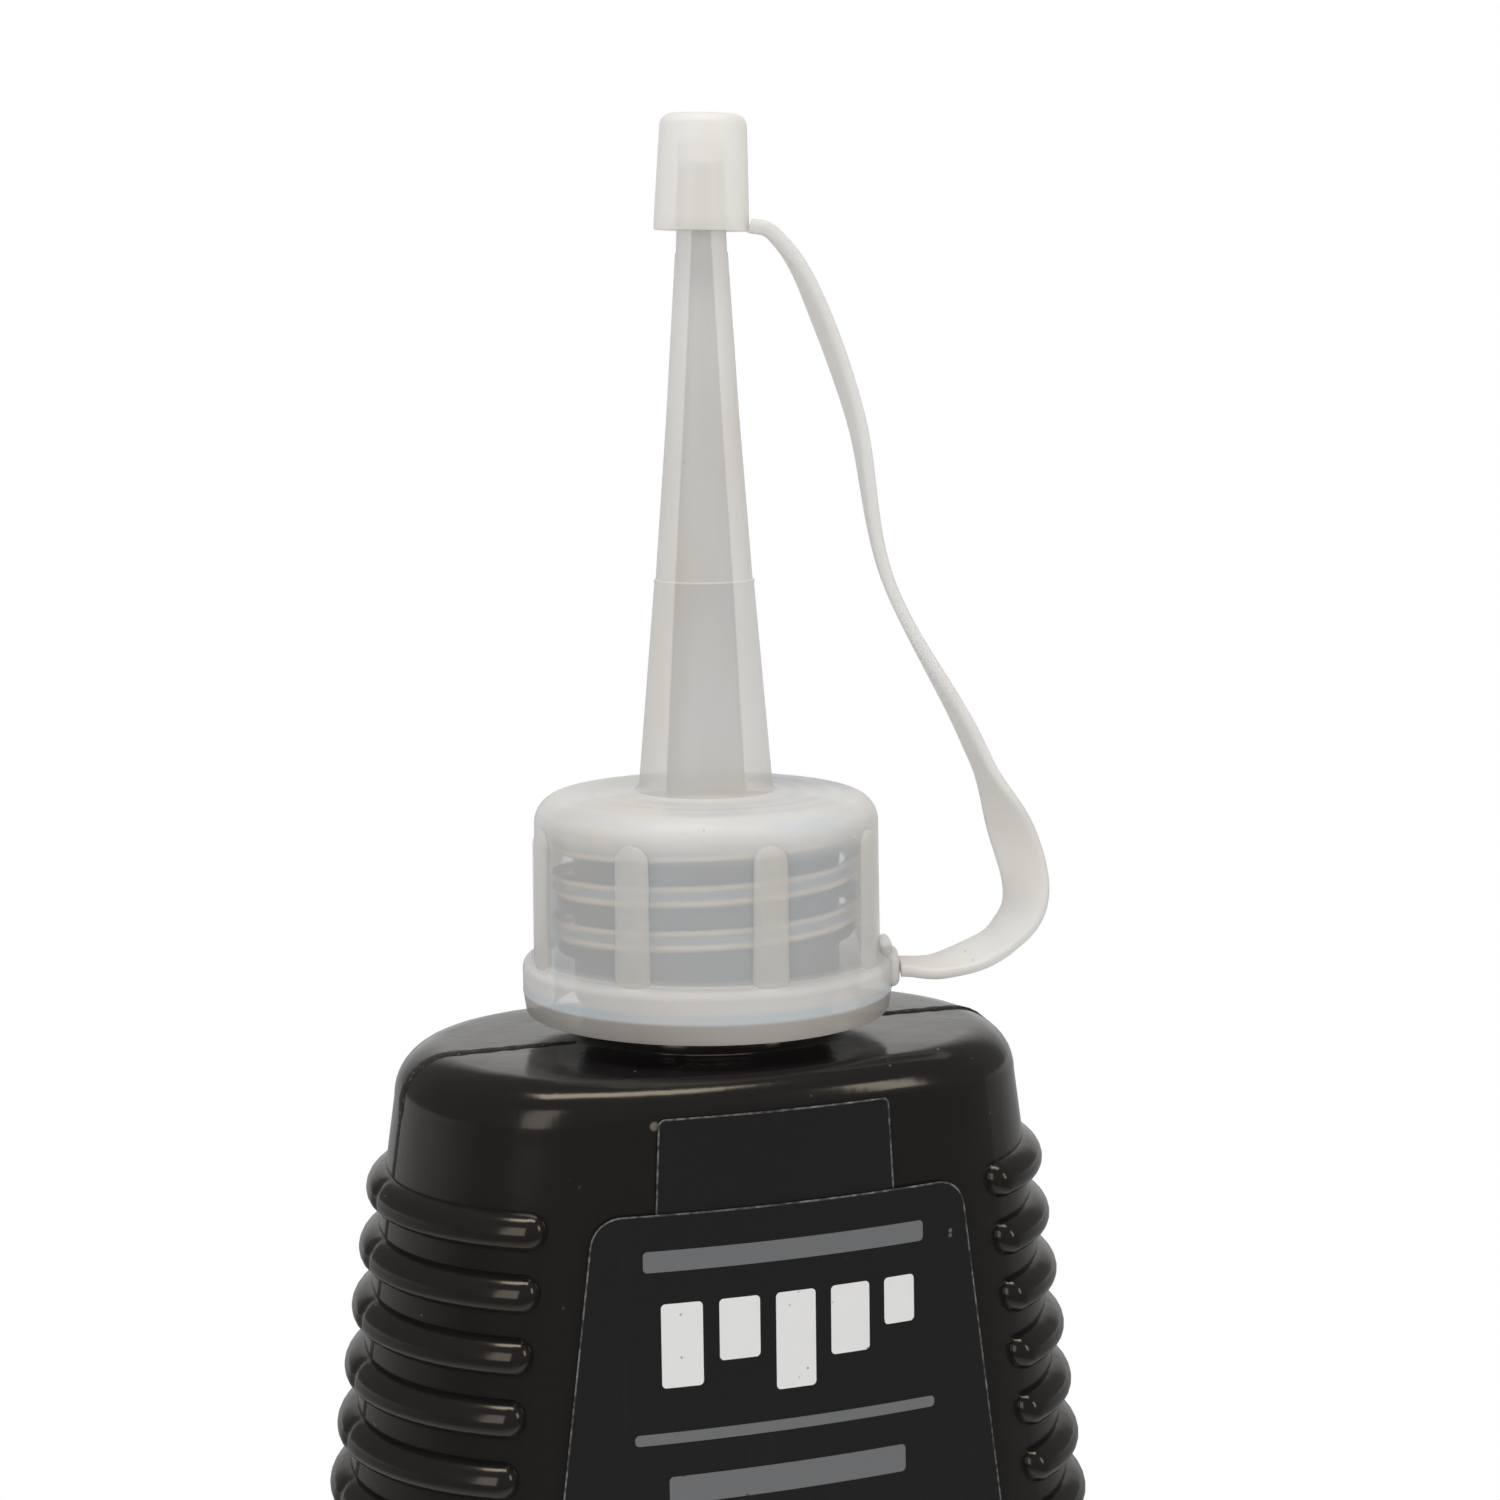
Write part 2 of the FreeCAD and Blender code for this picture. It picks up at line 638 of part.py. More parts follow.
def make_strap():
    """Flat moulded strap that bends out, twists at its foot and climbs to the cap."""
    z0 = value_of(Z0)
    root = size("flange_radius") + size("lug_reach") + size("strap_end_gap")
    cap_foot = size("cap_low_radius") + size("strap_end_gap")
    bend_r = size("strap_bend_reach")
    bend_z = size("strap_bend_height")
    waist_r = size("strap_waist_reach")
    waist_z = size("strap_waist_height")
    low_z = size("strap_root_height")
    high_z = size("nozzle_tip_height") - size("cap_grip") + size("strap_cap_rise")
    foot = bend_r - root
    climb = high_z - waist_z
    path = Part.BSplineCurve()
    path.interpolate([
        FreeCAD.Vector(root, 0, low_z),
        FreeCAD.Vector(root + 0.35 * foot, 0, low_z + 0.1),
        FreeCAD.Vector(root + 0.82 * foot, 0, low_z + 0.32 * (bend_z - low_z)),
        FreeCAD.Vector(bend_r, 0, bend_z),
        FreeCAD.Vector(0.6 * bend_r + 0.4 * waist_r, 0, 0.53 * bend_z + 0.47 * waist_z),
        FreeCAD.Vector(waist_r, 0, waist_z),
        FreeCAD.Vector(0.83 * waist_r, 0, waist_z + 0.45 * climb),
        FreeCAD.Vector(0.58 * waist_r, 0, waist_z + 0.82 * climb),
        FreeCAD.Vector(cap_foot + 1.7, 0, high_z - 0.75),
        FreeCAD.Vector(cap_foot, 0, high_z),
    ])
    twist_keys = [
        (0.0, 0.0),
        (0.10, 0.35 * size("strap_bend_twist")),
        (0.22, size("strap_bend_twist")),
        (0.34, 0.2 * size("strap_bend_twist")),
        (0.55, 0.0),
        (0.85, size("strap_top_twist")),
        (1.0, 0.0),
    ]

    def twist_at(share):
        for (u0, a0), (u1, a1) in zip(twist_keys, twist_keys[1:]):
            if share <= u1:
                f = (share - u0) / (u1 - u0)
                smooth = f * f * (3 - 2 * f)
                return a0 + (a1 - a0) * smooth
        return twist_keys[-1][1]

    half_w = size("strap_width") / 2
    half_t = size("strap_thickness") / 2
    sections = []
    steps = 15
    total = path.length()
    for i in range(steps + 1):
        share = i / steps
        u = path.parameterAtDistance(share * total, path.FirstParameter)
        centre = path.value(u)
        along = path.tangent(u)[0]
        across = FreeCAD.Vector(0, 1, 0)
        turned = FreeCAD.Rotation(along, twist_at(share)).multVec(across)
        flat = along.cross(turned)
        corners = []
        for a, b in ((-1, -1), (1, -1), (1, 1), (-1, 1)):
            corners.append(centre + turned * (a * half_w) + flat * (b * half_t))
        corners.append(corners[0])
        sections.append(Part.makePolygon(corners))
    strap = doc.addObject("Part::Feature", "cap_strap")
    strap.Label = "cap_strap"
    strap.Shape = Part.makeLoft(sections, True, True)
    strap.Placement = FreeCAD.Placement(
        FreeCAD.Vector(0, 0, z0),
        FreeCAD.Rotation(FreeCAD.Vector(0, 0, 1), size("closure_turned")),
    )
    doc.recompute()
    return strap


pieces = [
    make_bottle(),
    make_powder(),
    make_ply("under_label", "#ply_gap", label_outline("#ply_inset", True)),
    make_ply("front_label", "2 * #ply_gap + #ply_thickness", label_outline("0", False)),
    make_wad(),
    make_closure(),
    make_strap(),
    make_tip_cap(),
]
doc.recompute()

for item in doc.Objects:
    if "Invalid" in item.State or "Error" in item.State:
        raise ValueError("%s is in state %s" % (item.Name, item.State))
for piece in pieces:
    if piece.Shape.isNull() or not piece.Shape.isValid():
        raise ValueError(piece.Label + " has no valid shape")
for piece in pieces:
    piece.Shape.exportStep("parts/%s.step" % piece.Label)
    box = piece.Shape.BoundBox
    print(
        piece.Label, "solids", len(piece.Shape.Solids), "volume", round(piece.Shape.Volume, 1),
        "box", [round(v, 2) for v in (box.XMin, box.YMin, box.ZMin, box.XMax, box.YMax, box.ZMax)],
    )
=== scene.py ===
import math

import bmesh
import bpy
from mathutils import Matrix, Quaternion, Vector


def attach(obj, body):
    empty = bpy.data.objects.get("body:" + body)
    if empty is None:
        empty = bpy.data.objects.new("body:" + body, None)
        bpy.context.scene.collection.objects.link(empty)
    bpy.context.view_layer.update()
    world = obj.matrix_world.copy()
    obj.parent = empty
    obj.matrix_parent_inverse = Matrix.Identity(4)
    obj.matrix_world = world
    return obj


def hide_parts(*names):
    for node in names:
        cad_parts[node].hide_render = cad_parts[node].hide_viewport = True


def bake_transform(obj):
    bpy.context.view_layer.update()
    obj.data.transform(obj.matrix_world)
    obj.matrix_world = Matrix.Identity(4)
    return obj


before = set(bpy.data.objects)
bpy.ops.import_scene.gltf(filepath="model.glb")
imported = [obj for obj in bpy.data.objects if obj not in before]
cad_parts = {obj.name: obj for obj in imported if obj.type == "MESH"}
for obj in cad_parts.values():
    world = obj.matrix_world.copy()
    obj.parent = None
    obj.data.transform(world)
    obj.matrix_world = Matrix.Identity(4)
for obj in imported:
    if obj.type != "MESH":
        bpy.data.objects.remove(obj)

bl_info = {
    "name": "Puffer Bottle",
    "version": (1, 0, 0),
    "blender": (4, 5, 0),
    "location": "View3D > Sidebar > Puffer",
    "description": "Builds a dry lubricant puffer bottle with nozzle, strap and tip cap",
    "category": "Add Mesh",
}

MM = 0.001
MERGE = 1e-6
PLY = 0.14 * MM
VIEW_AZIMUTH = math.radians(20.68)
CAP_LEAN = math.radians(1.5)
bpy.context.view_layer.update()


# --- sizes


def length(name, millimetres, description):
    """A length, its default given in millimetres."""
    return bpy.props.FloatProperty(
        name=name, description=description, default=millimetres * MM, unit="LENGTH"
    )


def tint(name, colour, description):
    """A base colour."""
    return bpy.props.FloatVectorProperty(
        name=name, description=description, default=colour, subtype="COLOR"
    )


class BottleSizes(bpy.types.PropertyGroup):
    """Sizes of the blow-moulded bottle, in metres."""

    height: length("Height", 90, "Foot to shoulder plane")
    half_width: length("Half width", 29.9, "At the widest place")
    shoulder_half_width: length("Shoulder half width", 23.5, "At the shoulder")
    half_depth: length("Half depth", 15.9, "At the deepest place")
    wall: length("Wall", 1.2, "Thickness of the wall")
    shoulder_radius: length("Shoulder radius", 3.6, "Rounding of the shoulder")
    shoulder_front: length("Shoulder front radius", 2.4, "Rounding over the broad faces")
    heel_radius: length("Heel radius", 3.0, "Rounding of the foot")
    grip_first: length("First grip", 79.9, "Height of the top grip rib")
    grip_pitch: length("Grip pitch", 4.38, "Step from rib to rib")
    grip_height: length("Grip height", 2.85, "Height of one rib")
    grip_proud: length("Grip proud", 1.25, "How far a rib stands out")
    grip_count: bpy.props.IntProperty(
        name="Grip ribs", description="Ribs on each side", default=7, min=1
    )
    neck_radius: length("Neck radius", 9.75, "Neck wall under its thread")
    neck_bore: length("Neck bore", 8.0, "Radius of the mouth")


class ClosureSizes(bpy.types.PropertyGroup):
    """Sizes of the screw closure and the nozzle, in metres."""

    foot: length("Foot", 91.9, "Height of the collar's lower edge")
    turned: bpy.props.FloatProperty(
        name="Turned", description="Direction of the strap round the axis",
        default=math.radians(-20.7), subtype="ANGLE",
    )
    skirt_radius: length("Skirt radius", 12.75, "Outside of the skirt")
    flange_radius: length("Flange radius", 13.6, "Outside of the flange")
    deck: length("Deck", 15.85, "Deck over the foot")
    nozzle_tip: length("Nozzle tip", 61.3, "Nozzle's end over the foot")
    thread_pitch: length("Thread pitch", 3.175, "Lead of the right-hand thread")
    rib_count: bpy.props.IntProperty(
        name="Grip ribs", description="Upright ribs round the collar", default=8, min=3
    )


class FinishColours(bpy.types.PropertyGroup):
    """Base colours of the finishes."""

    black: tint("Black plastic", (0.0115, 0.0105, 0.0108), "Bottle")
    film: tint("Label film", (0.0125, 0.012, 0.0125), "Label plies")
    milky: tint("Milky skin", (0.82, 0.81, 0.79), "Closure, strap and cap")
    # painted shade: the bluish grey of the nozzle's hollow core seen through its wall
    bore: tint("Bore", (0.32, 0.335, 0.37), "Seen through the nozzle's wall")
    print_white: tint("White ink", (0.82, 0.82, 0.81), "Printed bars")
    print_grey: tint("Grey ink", (0.16, 0.165, 0.17), "Printed rules")


# --- materials


class Shade:
    """A shader socket that Python's arithmetic adds Math nodes to."""

    def __init__(self, finish, socket):
        self.finish = finish
        self.socket = socket

    def math(self, operation, *others):
        return self.finish.add("ShaderNodeMath", {"operation": operation}, self, *others)

    def __add__(self, other):
        return self.math("ADD", other)

    def __sub__(self, other):
        return self.math("SUBTRACT", other)

    def __mul__(self, other):
        return self.math("MULTIPLY", other)

    def __truediv__(self, other):
        return self.math("DIVIDE", other)

    def __rsub__(self, other):
        return self.finish.add("ShaderNodeMath", {"operation": "SUBTRACT"}, other, self)

    __radd__ = __add__
    __rmul__ = __mul__

    def clamp(self):
        return self.finish.add(
            "ShaderNodeMath", {"operation": "ADD", "use_clamp": True}, self, 0.0
        )

    def between(self, low, high):
        """0 below low, 1 above high, straight between."""
        return self.finish.add("ShaderNodeMapRange", {"clamp": True}, self, low, high, 0.0, 1.0)


class Wiring:
    """A node tree whose nodes all come from one method."""

    def __init__(self, tree):
        self.tree = tree

    def add(self, kind, settings, *values, out=0, **named):
        """New node: settings first, then the values or links of its sockets."""
        node = self.tree.nodes.new(kind)
        for key, value in settings.items():
            setattr(node, key, value)
        sockets = list(enumerate(values))
        sockets += [(key.replace("_", " "), value) for key, value in named.items()]
        for key, value in sockets:
            if value is None:
                continue
            if isinstance(value, Shade):
                self.tree.links.new(value.socket, node.inputs[key])
            elif node.inputs[key].type == "RGBA":
                node.inputs[key].default_value = (*value, 1)
            else:
                node.inputs[key].default_value = value
        if isinstance(out, tuple):
            return [Shade(self, node.outputs[key]) for key in out]
        return Shade(self, node.outputs[out]) if node.outputs else None

    def seen_rays(self):
        """Rays that show the backdrop: straight or through plastic, and mirrored ones."""
        straight, through, mirrored = self.add(
            "ShaderNodeLightPath", {},
            out=("Is Camera Ray", "Is Transmission Ray", "Is Glossy Ray"),
        )
        return straight.math("MAXIMUM", through), mirrored


class Finish(Wiring):
    """A material with one principled shader, built node by node."""

    def __init__(self, name, **constants):
        self.material = bpy.data.materials.new(name)
        self.material.use_nodes = True
        super().__init__(self.material.node_tree)
        self.shader = self.tree.nodes["Principled BSDF"]
        for socket, value in constants.items():
            self.shader.inputs[socket.replace("_", " ")].default_value = value

    def place(self, stretch=(1, 1, 1)):
        """Object coordinates, stretched."""
        spot = self.add("ShaderNodeTexCoord", {}, out="Object")
        return self.add("ShaderNodeMapping", {}, spot, Scale=stretch)

    def axes(self):
        """Object coordinates as three values."""
        spot = self.add("ShaderNodeTexCoord", {}, out="Object")
        return self.add("ShaderNodeSeparateXYZ", {}, spot, out=(0, 1, 2))

    def noise(self, scale, stretch=(1, 1, 1), detail=3.0, rough=0.5):
        spot = self.place(stretch)
        return self.add(
            "ShaderNodeTexNoise", {}, spot, Scale=scale, Detail=detail, Roughness=rough
        )

    def specks(self, scale, size, keep):
        """Small sparse round spots: 1 inside a spot."""
        near, colour = self.add(
            "ShaderNodeTexVoronoi", {}, self.place(), Scale=scale, out=("Distance", "Color")
        )
        chosen = self.add("ShaderNodeSeparateColor", {}, colour).math("LESS_THAN", keep)
        return chosen * (1.0 - near.between(0.6 * size, size))

    def mix(self, factor, first, second):
        """Blend of two colours."""
        unused = [None] * 5
        return self.add(
            "ShaderNodeMix", {"data_type": "RGBA"}, factor, *unused, first, second, out=2
        )

    def feed(self, name, value):
        self.tree.links.new(value.socket, self.shader.inputs[name])

    def paint(self, factor, first, second):
        """Base colour blended from two colours."""
        self.feed("Base Color", self.mix(factor, first, second))

    def bump(self, height, strength, distance):
        settings = {"Strength": strength, "Distance": distance, "Height": height}
        self.feed("Normal", self.add("ShaderNodeBump", {}, **settings))


def black_plastic(colour):
    """Glossy black polyethylene with faint flow lines and a little dust."""
    finish = Finish(
        "black_plastic_gloss", Specular_IOR_Level=0.5, Specular_Tint=(1.0, 0.88, 0.71, 1.0)
    )
    flow = finish.noise(260, (1, 1, 0.12), 4)
    cloud = finish.noise(90)
    dust = finish.specks(420, 0.16, 0.05)
    fluff = finish.specks(1500, 0.2, 0.03)
    spots = (dust + fluff).clamp() * finish.noise(60).between(0.48, 0.62)
    finish.paint(spots * 0.5, colour, (0.30, 0.26, 0.20))
    finish.feed("Roughness", 0.08 + 0.08 * cloud + 0.07 * flow + 0.3 * spots)
    finish.bump(flow * 0.6 + cloud * 1.4, 0.12, 0.0006)
    return finish.material


def rough_ridge():
    """Scuffed parting ridge with pale grains stuck in it."""
    finish = Finish("parting_ridge", Specular_IOR_Level=0.4)
    grain = finish.noise(2600, detail=5)
    pale = grain.between(0.60, 0.72)
    finish.paint(pale * 0.7, (0.02, 0.018, 0.016), (0.22, 0.18, 0.13))
    finish.feed("Roughness", 0.35 + 0.4 * grain)
    finish.bump(grain, 0.7, 0.0003)
    return finish.material


def label_film(name, colour):
    """Black printed film with fine scratches and dust."""
    finish = Finish(name, Specular_IOR_Level=0.42)
    scratch = finish.noise(900, (1, 1, 0.05), 2).between(0.62, 0.70)
    dust = finish.specks(700, 0.13, 0.05) * finish.noise(70).between(0.5, 0.62)
    finish.paint(dust * 0.6, colour, (0.34, 0.30, 0.25))
    finish.feed("Roughness", 0.24 + 0.06 * scratch + 0.08 * finish.noise(120))
    finish.bump(finish.noise(400, detail=2) * 0.5 + scratch * 0.3, 0.05, 0.0004)
    return finish.material


def film_edge():
    """Broken pale line along the film's cut edge."""
    finish = Finish("film_cut_edge")
    grain = finish.noise(1900, detail=4)
    finish.paint(grain.between(0.40, 0.66) * 0.6, (0.03, 0.03, 0.03), (0.30, 0.29, 0.27))
    finish.feed("Roughness", 0.4 + 0.2 * grain)
    return finish.material


def ink(name, colour):
    """Printed ink with tiny pinholes."""
    finish = Finish(name)
    holes = finish.specks(1500, 0.2, 0.06)
    dark = tuple(0.3 * c for c in colour)
    finish.paint(holes * 0.8, colour, dark)
    finish.feed("Roughness", 0.32 + 0.1 * finish.noise(500))
    return finish.material


def milky_coat(finish, base, cover, cloud_depth=0.06):
    """Satin milky plastic over a base colour; cover says how much hides what is under it."""
    cloud = finish.noise(130, (1, 1, 0.5), 4)
    fine = finish.noise(900, detail=3)
    grit = finish.specks(900, 0.14, 0.02)
    finish.paint(grit * 0.6, base, (0.25, 0.22, 0.19))
    finish.feed("Roughness", 0.33 + 0.12 * cloud + 0.06 * fine)
    finish.feed("Alpha", (cover + cloud_depth * (cloud - 0.5) + 0.3 * grit).clamp())
    finish.bump(cloud, 0.10, 0.0005)


def milky_skin(name, colour, cover, cloud_depth=0.06):
    """Milky plastic of one cover all over."""
    finish = Finish(name, Specular_IOR_Level=0.5, IOR=1.5)
    warm = tuple(c * share for c, share in zip(colour, (0.97, 0.93, 0.86)))
    patch = finish.noise(130, (1, 1, 0.5), 4).between(0.38, 0.66)
    milky_coat(finish, finish.mix(patch, colour, warm), cover, cloud_depth)
    return finish.material


def collar_skin(colour, foot):
    """Milky skin of the collar: thin on the skirt, denser on flange and deck.

    The flange is painted a darker tan under its parting line, shade over the black bottle, and a
    bluish band just over it, the dark neck's shade seen through the milky plastic.
    """
    finish = Finish("closure_milky_skin", Specular_IOR_Level=0.5, IOR=1.5)
    x, y, z = finish.axes()
    deck = z.between(foot + 12.4 * MM, foot + 14.9 * MM)
    flange = 1.0 - z.between(foot + 3.5 * MM, foot + 4.5 * MM)
    under = 1.0 - z.between(foot + 1.35 * MM, foot + 1.6 * MM)
    seam_shade = (1.0 - under) * (1.0 - z.between(foot + 2.0 * MM, foot + 2.5 * MM))
    away = (x * x + y * y).math("SQRT")
    rings = ((away * 3600 + 5.0 * finish.noise(90)).math("SINE") * 0.5 + 0.5).clamp()
    streaks = finish.noise(150, (0.5, 0.5, 5.0), 3).between(0.44, 0.62)
    base = finish.mix(deck.math("MAXIMUM", flange), (0.74, 0.77, 0.79), colour)
    base = finish.mix(rings * streaks * deck * 0.7, base, (0.66, 0.73, 0.80))
    # painted shade: bluish band just over the parting line, the dark neck seen through the flange
    base = finish.mix(seam_shade * 0.6, base, (0.56, 0.67, 0.76))
    patch = finish.noise(95, (1, 1, 0.6), 4).between(0.45, 0.70)
    base = finish.mix(patch * 0.5, base, (0.80, 0.74, 0.66))
    # painted shade: darker tan on the flange's lower band, over the black bottle
    base = finish.mix(under * 0.7, base, (0.46, 0.41, 0.36))
    milky_coat(finish, base, 0.49 + 0.30 * deck + 0.20 * flange, 0.08)
    return finish.material


def threaded_wall(pitch, foot):
    """Inside wall of the collar: nearly clear, with warm bright lines painted along the thread
    edges as light passing through them, and a bluish grey painted between as the dark neck's
    shade seen through the thin wall.
    """
    finish = Finish("collar_inner_wall", Roughness=0.45)
    x, y, z = finish.axes()
    angle = finish.add("ShaderNodeMath", {"operation": "ARCTAN2"}, y, x)
    turns = (z - foot) / pitch - angle / (2 * math.pi)
    phase = turns.math("FRACT")
    wobble = 0.05 * (finish.noise(160, (1, 1, 0.3)) - 0.5)

    def line(at, width):
        gap = (phase + wobble - at).math("ABSOLUTE")
        return 1.0 - gap.between(0.35 * width, width)

    high = z.between(foot + 4.6 * MM, foot + 6.2 * MM)
    low = 1.0 - z.between(foot + 13.2 * MM, foot + 14.2 * MM)
    wound = high * low
    # painted light: warm bright lines where light passes through the thread's edges
    lines = (line(0.37, 0.085) + 0.9 * line(0.70, 0.08)).clamp()
    lines = lines * wound * (0.7 + 0.5 * finish.noise(110)).clamp()
    ridge = phase.between(0.37, 0.43) * (1.0 - phase.between(0.64, 0.70)) * wound
    head = z.between(foot + 12.7 * MM, foot + 13.6 * MM)
    base = 1.0 - z.between(foot + 2.6 * MM, foot + 4.2 * MM)
    solid = head.math("MAXIMUM", base * 0.6)
    # painted shade: bluish grey for the dark neck seen through the thin wall; the dense head and
    # base stay warm pale
    base_with_neck_shade = finish.mix(solid, (0.62, 0.66, 0.71), (0.80, 0.77, 0.71))
    finish.paint(lines, base_with_neck_shade, (0.92, 0.70, 0.47))
    finish.feed("Alpha", (0.15 + 0.22 * ridge + 0.78 * lines + 0.65 * solid).clamp())
    finish.bump(lines, 0.3, 0.0003)
    return finish.material


def shaded_bore_wall(colour):
    """Inside of the nozzle: a bluish grey painted as the shade of its hollow core seen through
    the milky wall, darker in random patches, with a few dark specks.
    """
    finish = Finish("nozzle_bore", Roughness=0.5)
    haze = finish.noise(120, (1, 1, 0.3), 4)
    dots = finish.specks(700, 0.2, 0.03)
    dark = tuple(0.86 * c for c in colour)
    base = finish.mix(haze.between(0.35, 0.65), colour, dark)
    finish.paint(dots * 0.5, base, (0.2, 0.2, 0.22))
    finish.feed("Alpha", 0.40 + 0.2 * haze)
    return finish.material


def foam():
    """Closed-cell foam of the seal wad."""
    finish = Finish("wad_foam_cells", Roughness=0.8)
    cells = finish.noise(2400, detail=3)
    finish.paint(cells, (0.62, 0.61, 0.57), (0.74, 0.73, 0.69))
    finish.bump(cells, 0.4, 0.0002)
    return finish.material


def powder():
    """Dull grey-black graphite powder with a faint metallic glint."""
    finish = Finish("graphite_powder_heap", Metallic=0.35)
    grain = finish.noise(5200, detail=6, rough=0.7)
    lump = finish.noise(320, detail=4)
    finish.paint(lump, (0.035, 0.036, 0.04), (0.085, 0.087, 0.094))
    finish.feed("Roughness", 0.55 + 0.3 * grain)
    finish.bump(grain * 0.5 + lump * 2.0, 0.5, 0.0006)
    return finish.material


# --- mesh tools


def mm_points(rows, radius=0.0, height=0.0):
    """Rows of (radius, height) in millimetres, measured from a place, as metres."""
    return [(radius + r * MM, height + z * MM) for r, z in rows]


def set_order(rows, place):
    """Order a mesh's elements by their places, since extruding leaves a random order."""
    for index, item in enumerate(sorted(rows, key=lambda item: place(item)[:])):
        item.index = index
    rows.sort()


def finish_piece(name, bm, materials, body, angle):
    """Close and orient a mesh, link it as an object, and let it ride if it has a body.

    Edges that bend by more than angle, in degrees, stay sharp.
    """
    bmesh.ops.remove_doubles(bm, verts=bm.verts, dist=MERGE)
    bmesh.ops.recalc_face_normals(bm, faces=bm.faces)
    set_order(bm.verts, lambda vert: vert.co)
    set_order(bm.edges, lambda edge: edge.verts[0].co + edge.verts[1].co)
    set_order(bm.faces, lambda face: face.calc_center_median())
    mesh = bpy.data.meshes.new(name)
    bm.to_mesh(mesh)
    bm.free()
    for material in materials:
        mesh.materials.append(material)
    mesh.shade_smooth()
    mesh.set_sharp_from_angle(angle=math.radians(angle))
    piece = bpy.data.objects.new(name, mesh)
    bpy.context.scene.collection.objects.link(piece)
    if body:
        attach(piece, body)
    return piece


def start_ring(bm, points):
    """Closed ring of vertices through the given points."""
    made = bmesh.ops.create_circle(bm, segments=len(points), radius=1.0)
    for vert, point in zip(made["verts"], points):
        vert.co = point
    return list(made["verts"])


def ring_edges(ring):
    """Edges that join a ring's vertices, in their order."""
    pairs = zip(ring, ring[1:] + ring[:1])
    return [next(e for e in a.link_edges if e.other_vert(a) is b) for a, b in pairs]


def grow_ring(bm, ring, points):
    """Extrude a ring and put the new one at the given points."""
    made = bmesh.ops.extrude_edge_only(bm, edges=ring_edges(ring))["geom"]
    fresh = {item for item in made if isinstance(item, bmesh.types.BMVert)}
    grown = [
        next(e.other_vert(vert) for e in vert.link_edges if e.other_vert(vert) in fresh)
        for vert in ring
    ]
    for vert, point in zip(grown, points):
        vert.co = point
    return grown


def stack_rings(bm, rings):
    """Skin of many rings, capped at both ends."""
    ring = start_ring(bm, rings[0])
    bmesh.ops.contextual_create(bm, geom=ring_edges(ring))
    for points in rings[1:]:
        ring = grow_ring(bm, ring, points)
    bmesh.ops.contextual_create(bm, geom=ring_edges(ring))


def spread(low, high, steps):
    """Values from low to high in equal steps, without low."""
    return [low + (high - low) * i / steps for i in range(1, steps + 1)]


def turns(count):
    """Angles that divide a whole turn."""
    return [2 * math.pi * k / count for k in range(count)]


def arc_points(centre, radius, start, stop, steps):
    """Points of an arc in the radius-height plane, angles in degrees."""
    angles = [math.radians(a) for a in [start] + spread(start, stop, steps)]
    return [(centre[0] + radius * math.cos(a), centre[1] + radius * math.sin(a)) for a in angles]


def quarter_turn(steps):
    """Cosine and sine of the angles from 0 to 90 degrees."""
    return arc_points((0, 0), 1, 0, 90, steps)


def tangents(path):
    """Direction of an open path at each of its points."""
    spans = zip(path[:1] + path, path[1:] + path[-1:])
    return [(after - before).normalized() for before, after in spans]


def face_place(face):
    """Distance of a face's centre from the Z axis, and its height."""
    centre = face.calc_center_median()
    return math.hypot(centre.x, centre.y), centre.z


def spin_outline(bm, outline, steps, closed=True):
    """Turn an outline of (radius, height) points once round the Z axis."""
    verts = [bm.verts.new((r, 0, z)) for r, z in outline]
    edges = [bm.edges.new(pair) for pair in zip(verts, verts[1:])]
    if closed:
        edges.append(bm.edges.new((verts[-1], verts[0])))
    bmesh.ops.spin(
        bm, geom=verts + edges, cent=(0, 0, 0), axis=(0, 0, 1), dvec=(0, 0, 0),
        angle=2 * math.pi, steps=steps, use_merge=True, use_duplicate=False,
    )


def wind_thread(bm, radii, halves, start_z, pitch, rounds, sink):
    """Wind a thread up a helix and sink both its ends into the wall.

    radii and halves are its radius and half height at the root and at the crest.
    """
    steps, fade_share = 72, 0.09
    (root, crest), (wide, narrow) = radii, halves
    section = [(root, -wide), (crest, -narrow), (crest, narrow), (root, wide)]
    verts = [bm.verts.new((r, 0, start_z + z)) for r, z in section]
    edges = [bm.edges.new(pair) for pair in zip(verts, verts[1:] + verts[:1])]
    bmesh.ops.contextual_create(bm, geom=edges)
    count = int(steps * rounds)
    made = bmesh.ops.spin(
        bm, geom=edges, cent=(0, 0, 0), axis=(0, 0, 1), dvec=(0, 0, pitch / steps),
        angle=2 * math.pi * count / steps, steps=count, use_merge=False, use_duplicate=False,
    )
    last = [item for item in made["geom_last"] if isinstance(item, bmesh.types.BMEdge)]
    bmesh.ops.contextual_create(bm, geom=last)
    for vert in bm.verts:
        rise = (vert.co.z - start_z) / (pitch * rounds)
        fade = min(1.0, max(0.0, rise / fade_share), max(0.0, (1.0 - rise) / fade_share))
        flat = math.hypot(vert.co.x, vert.co.y)
        wanted = flat + (1.0 - fade) * sink * min(1.0, abs(flat - root) / abs(crest - root))
        vert.co.x *= wanted / flat
        vert.co.y *= wanted / flat


def turn_mesh(bm, angle):
    """Turn a whole mesh round the Z axis."""
    bmesh.ops.rotate(bm, verts=bm.verts, cent=(0, 0, 0), matrix=Matrix.Rotation(angle, 3, "Z"))


# --- bottle's form


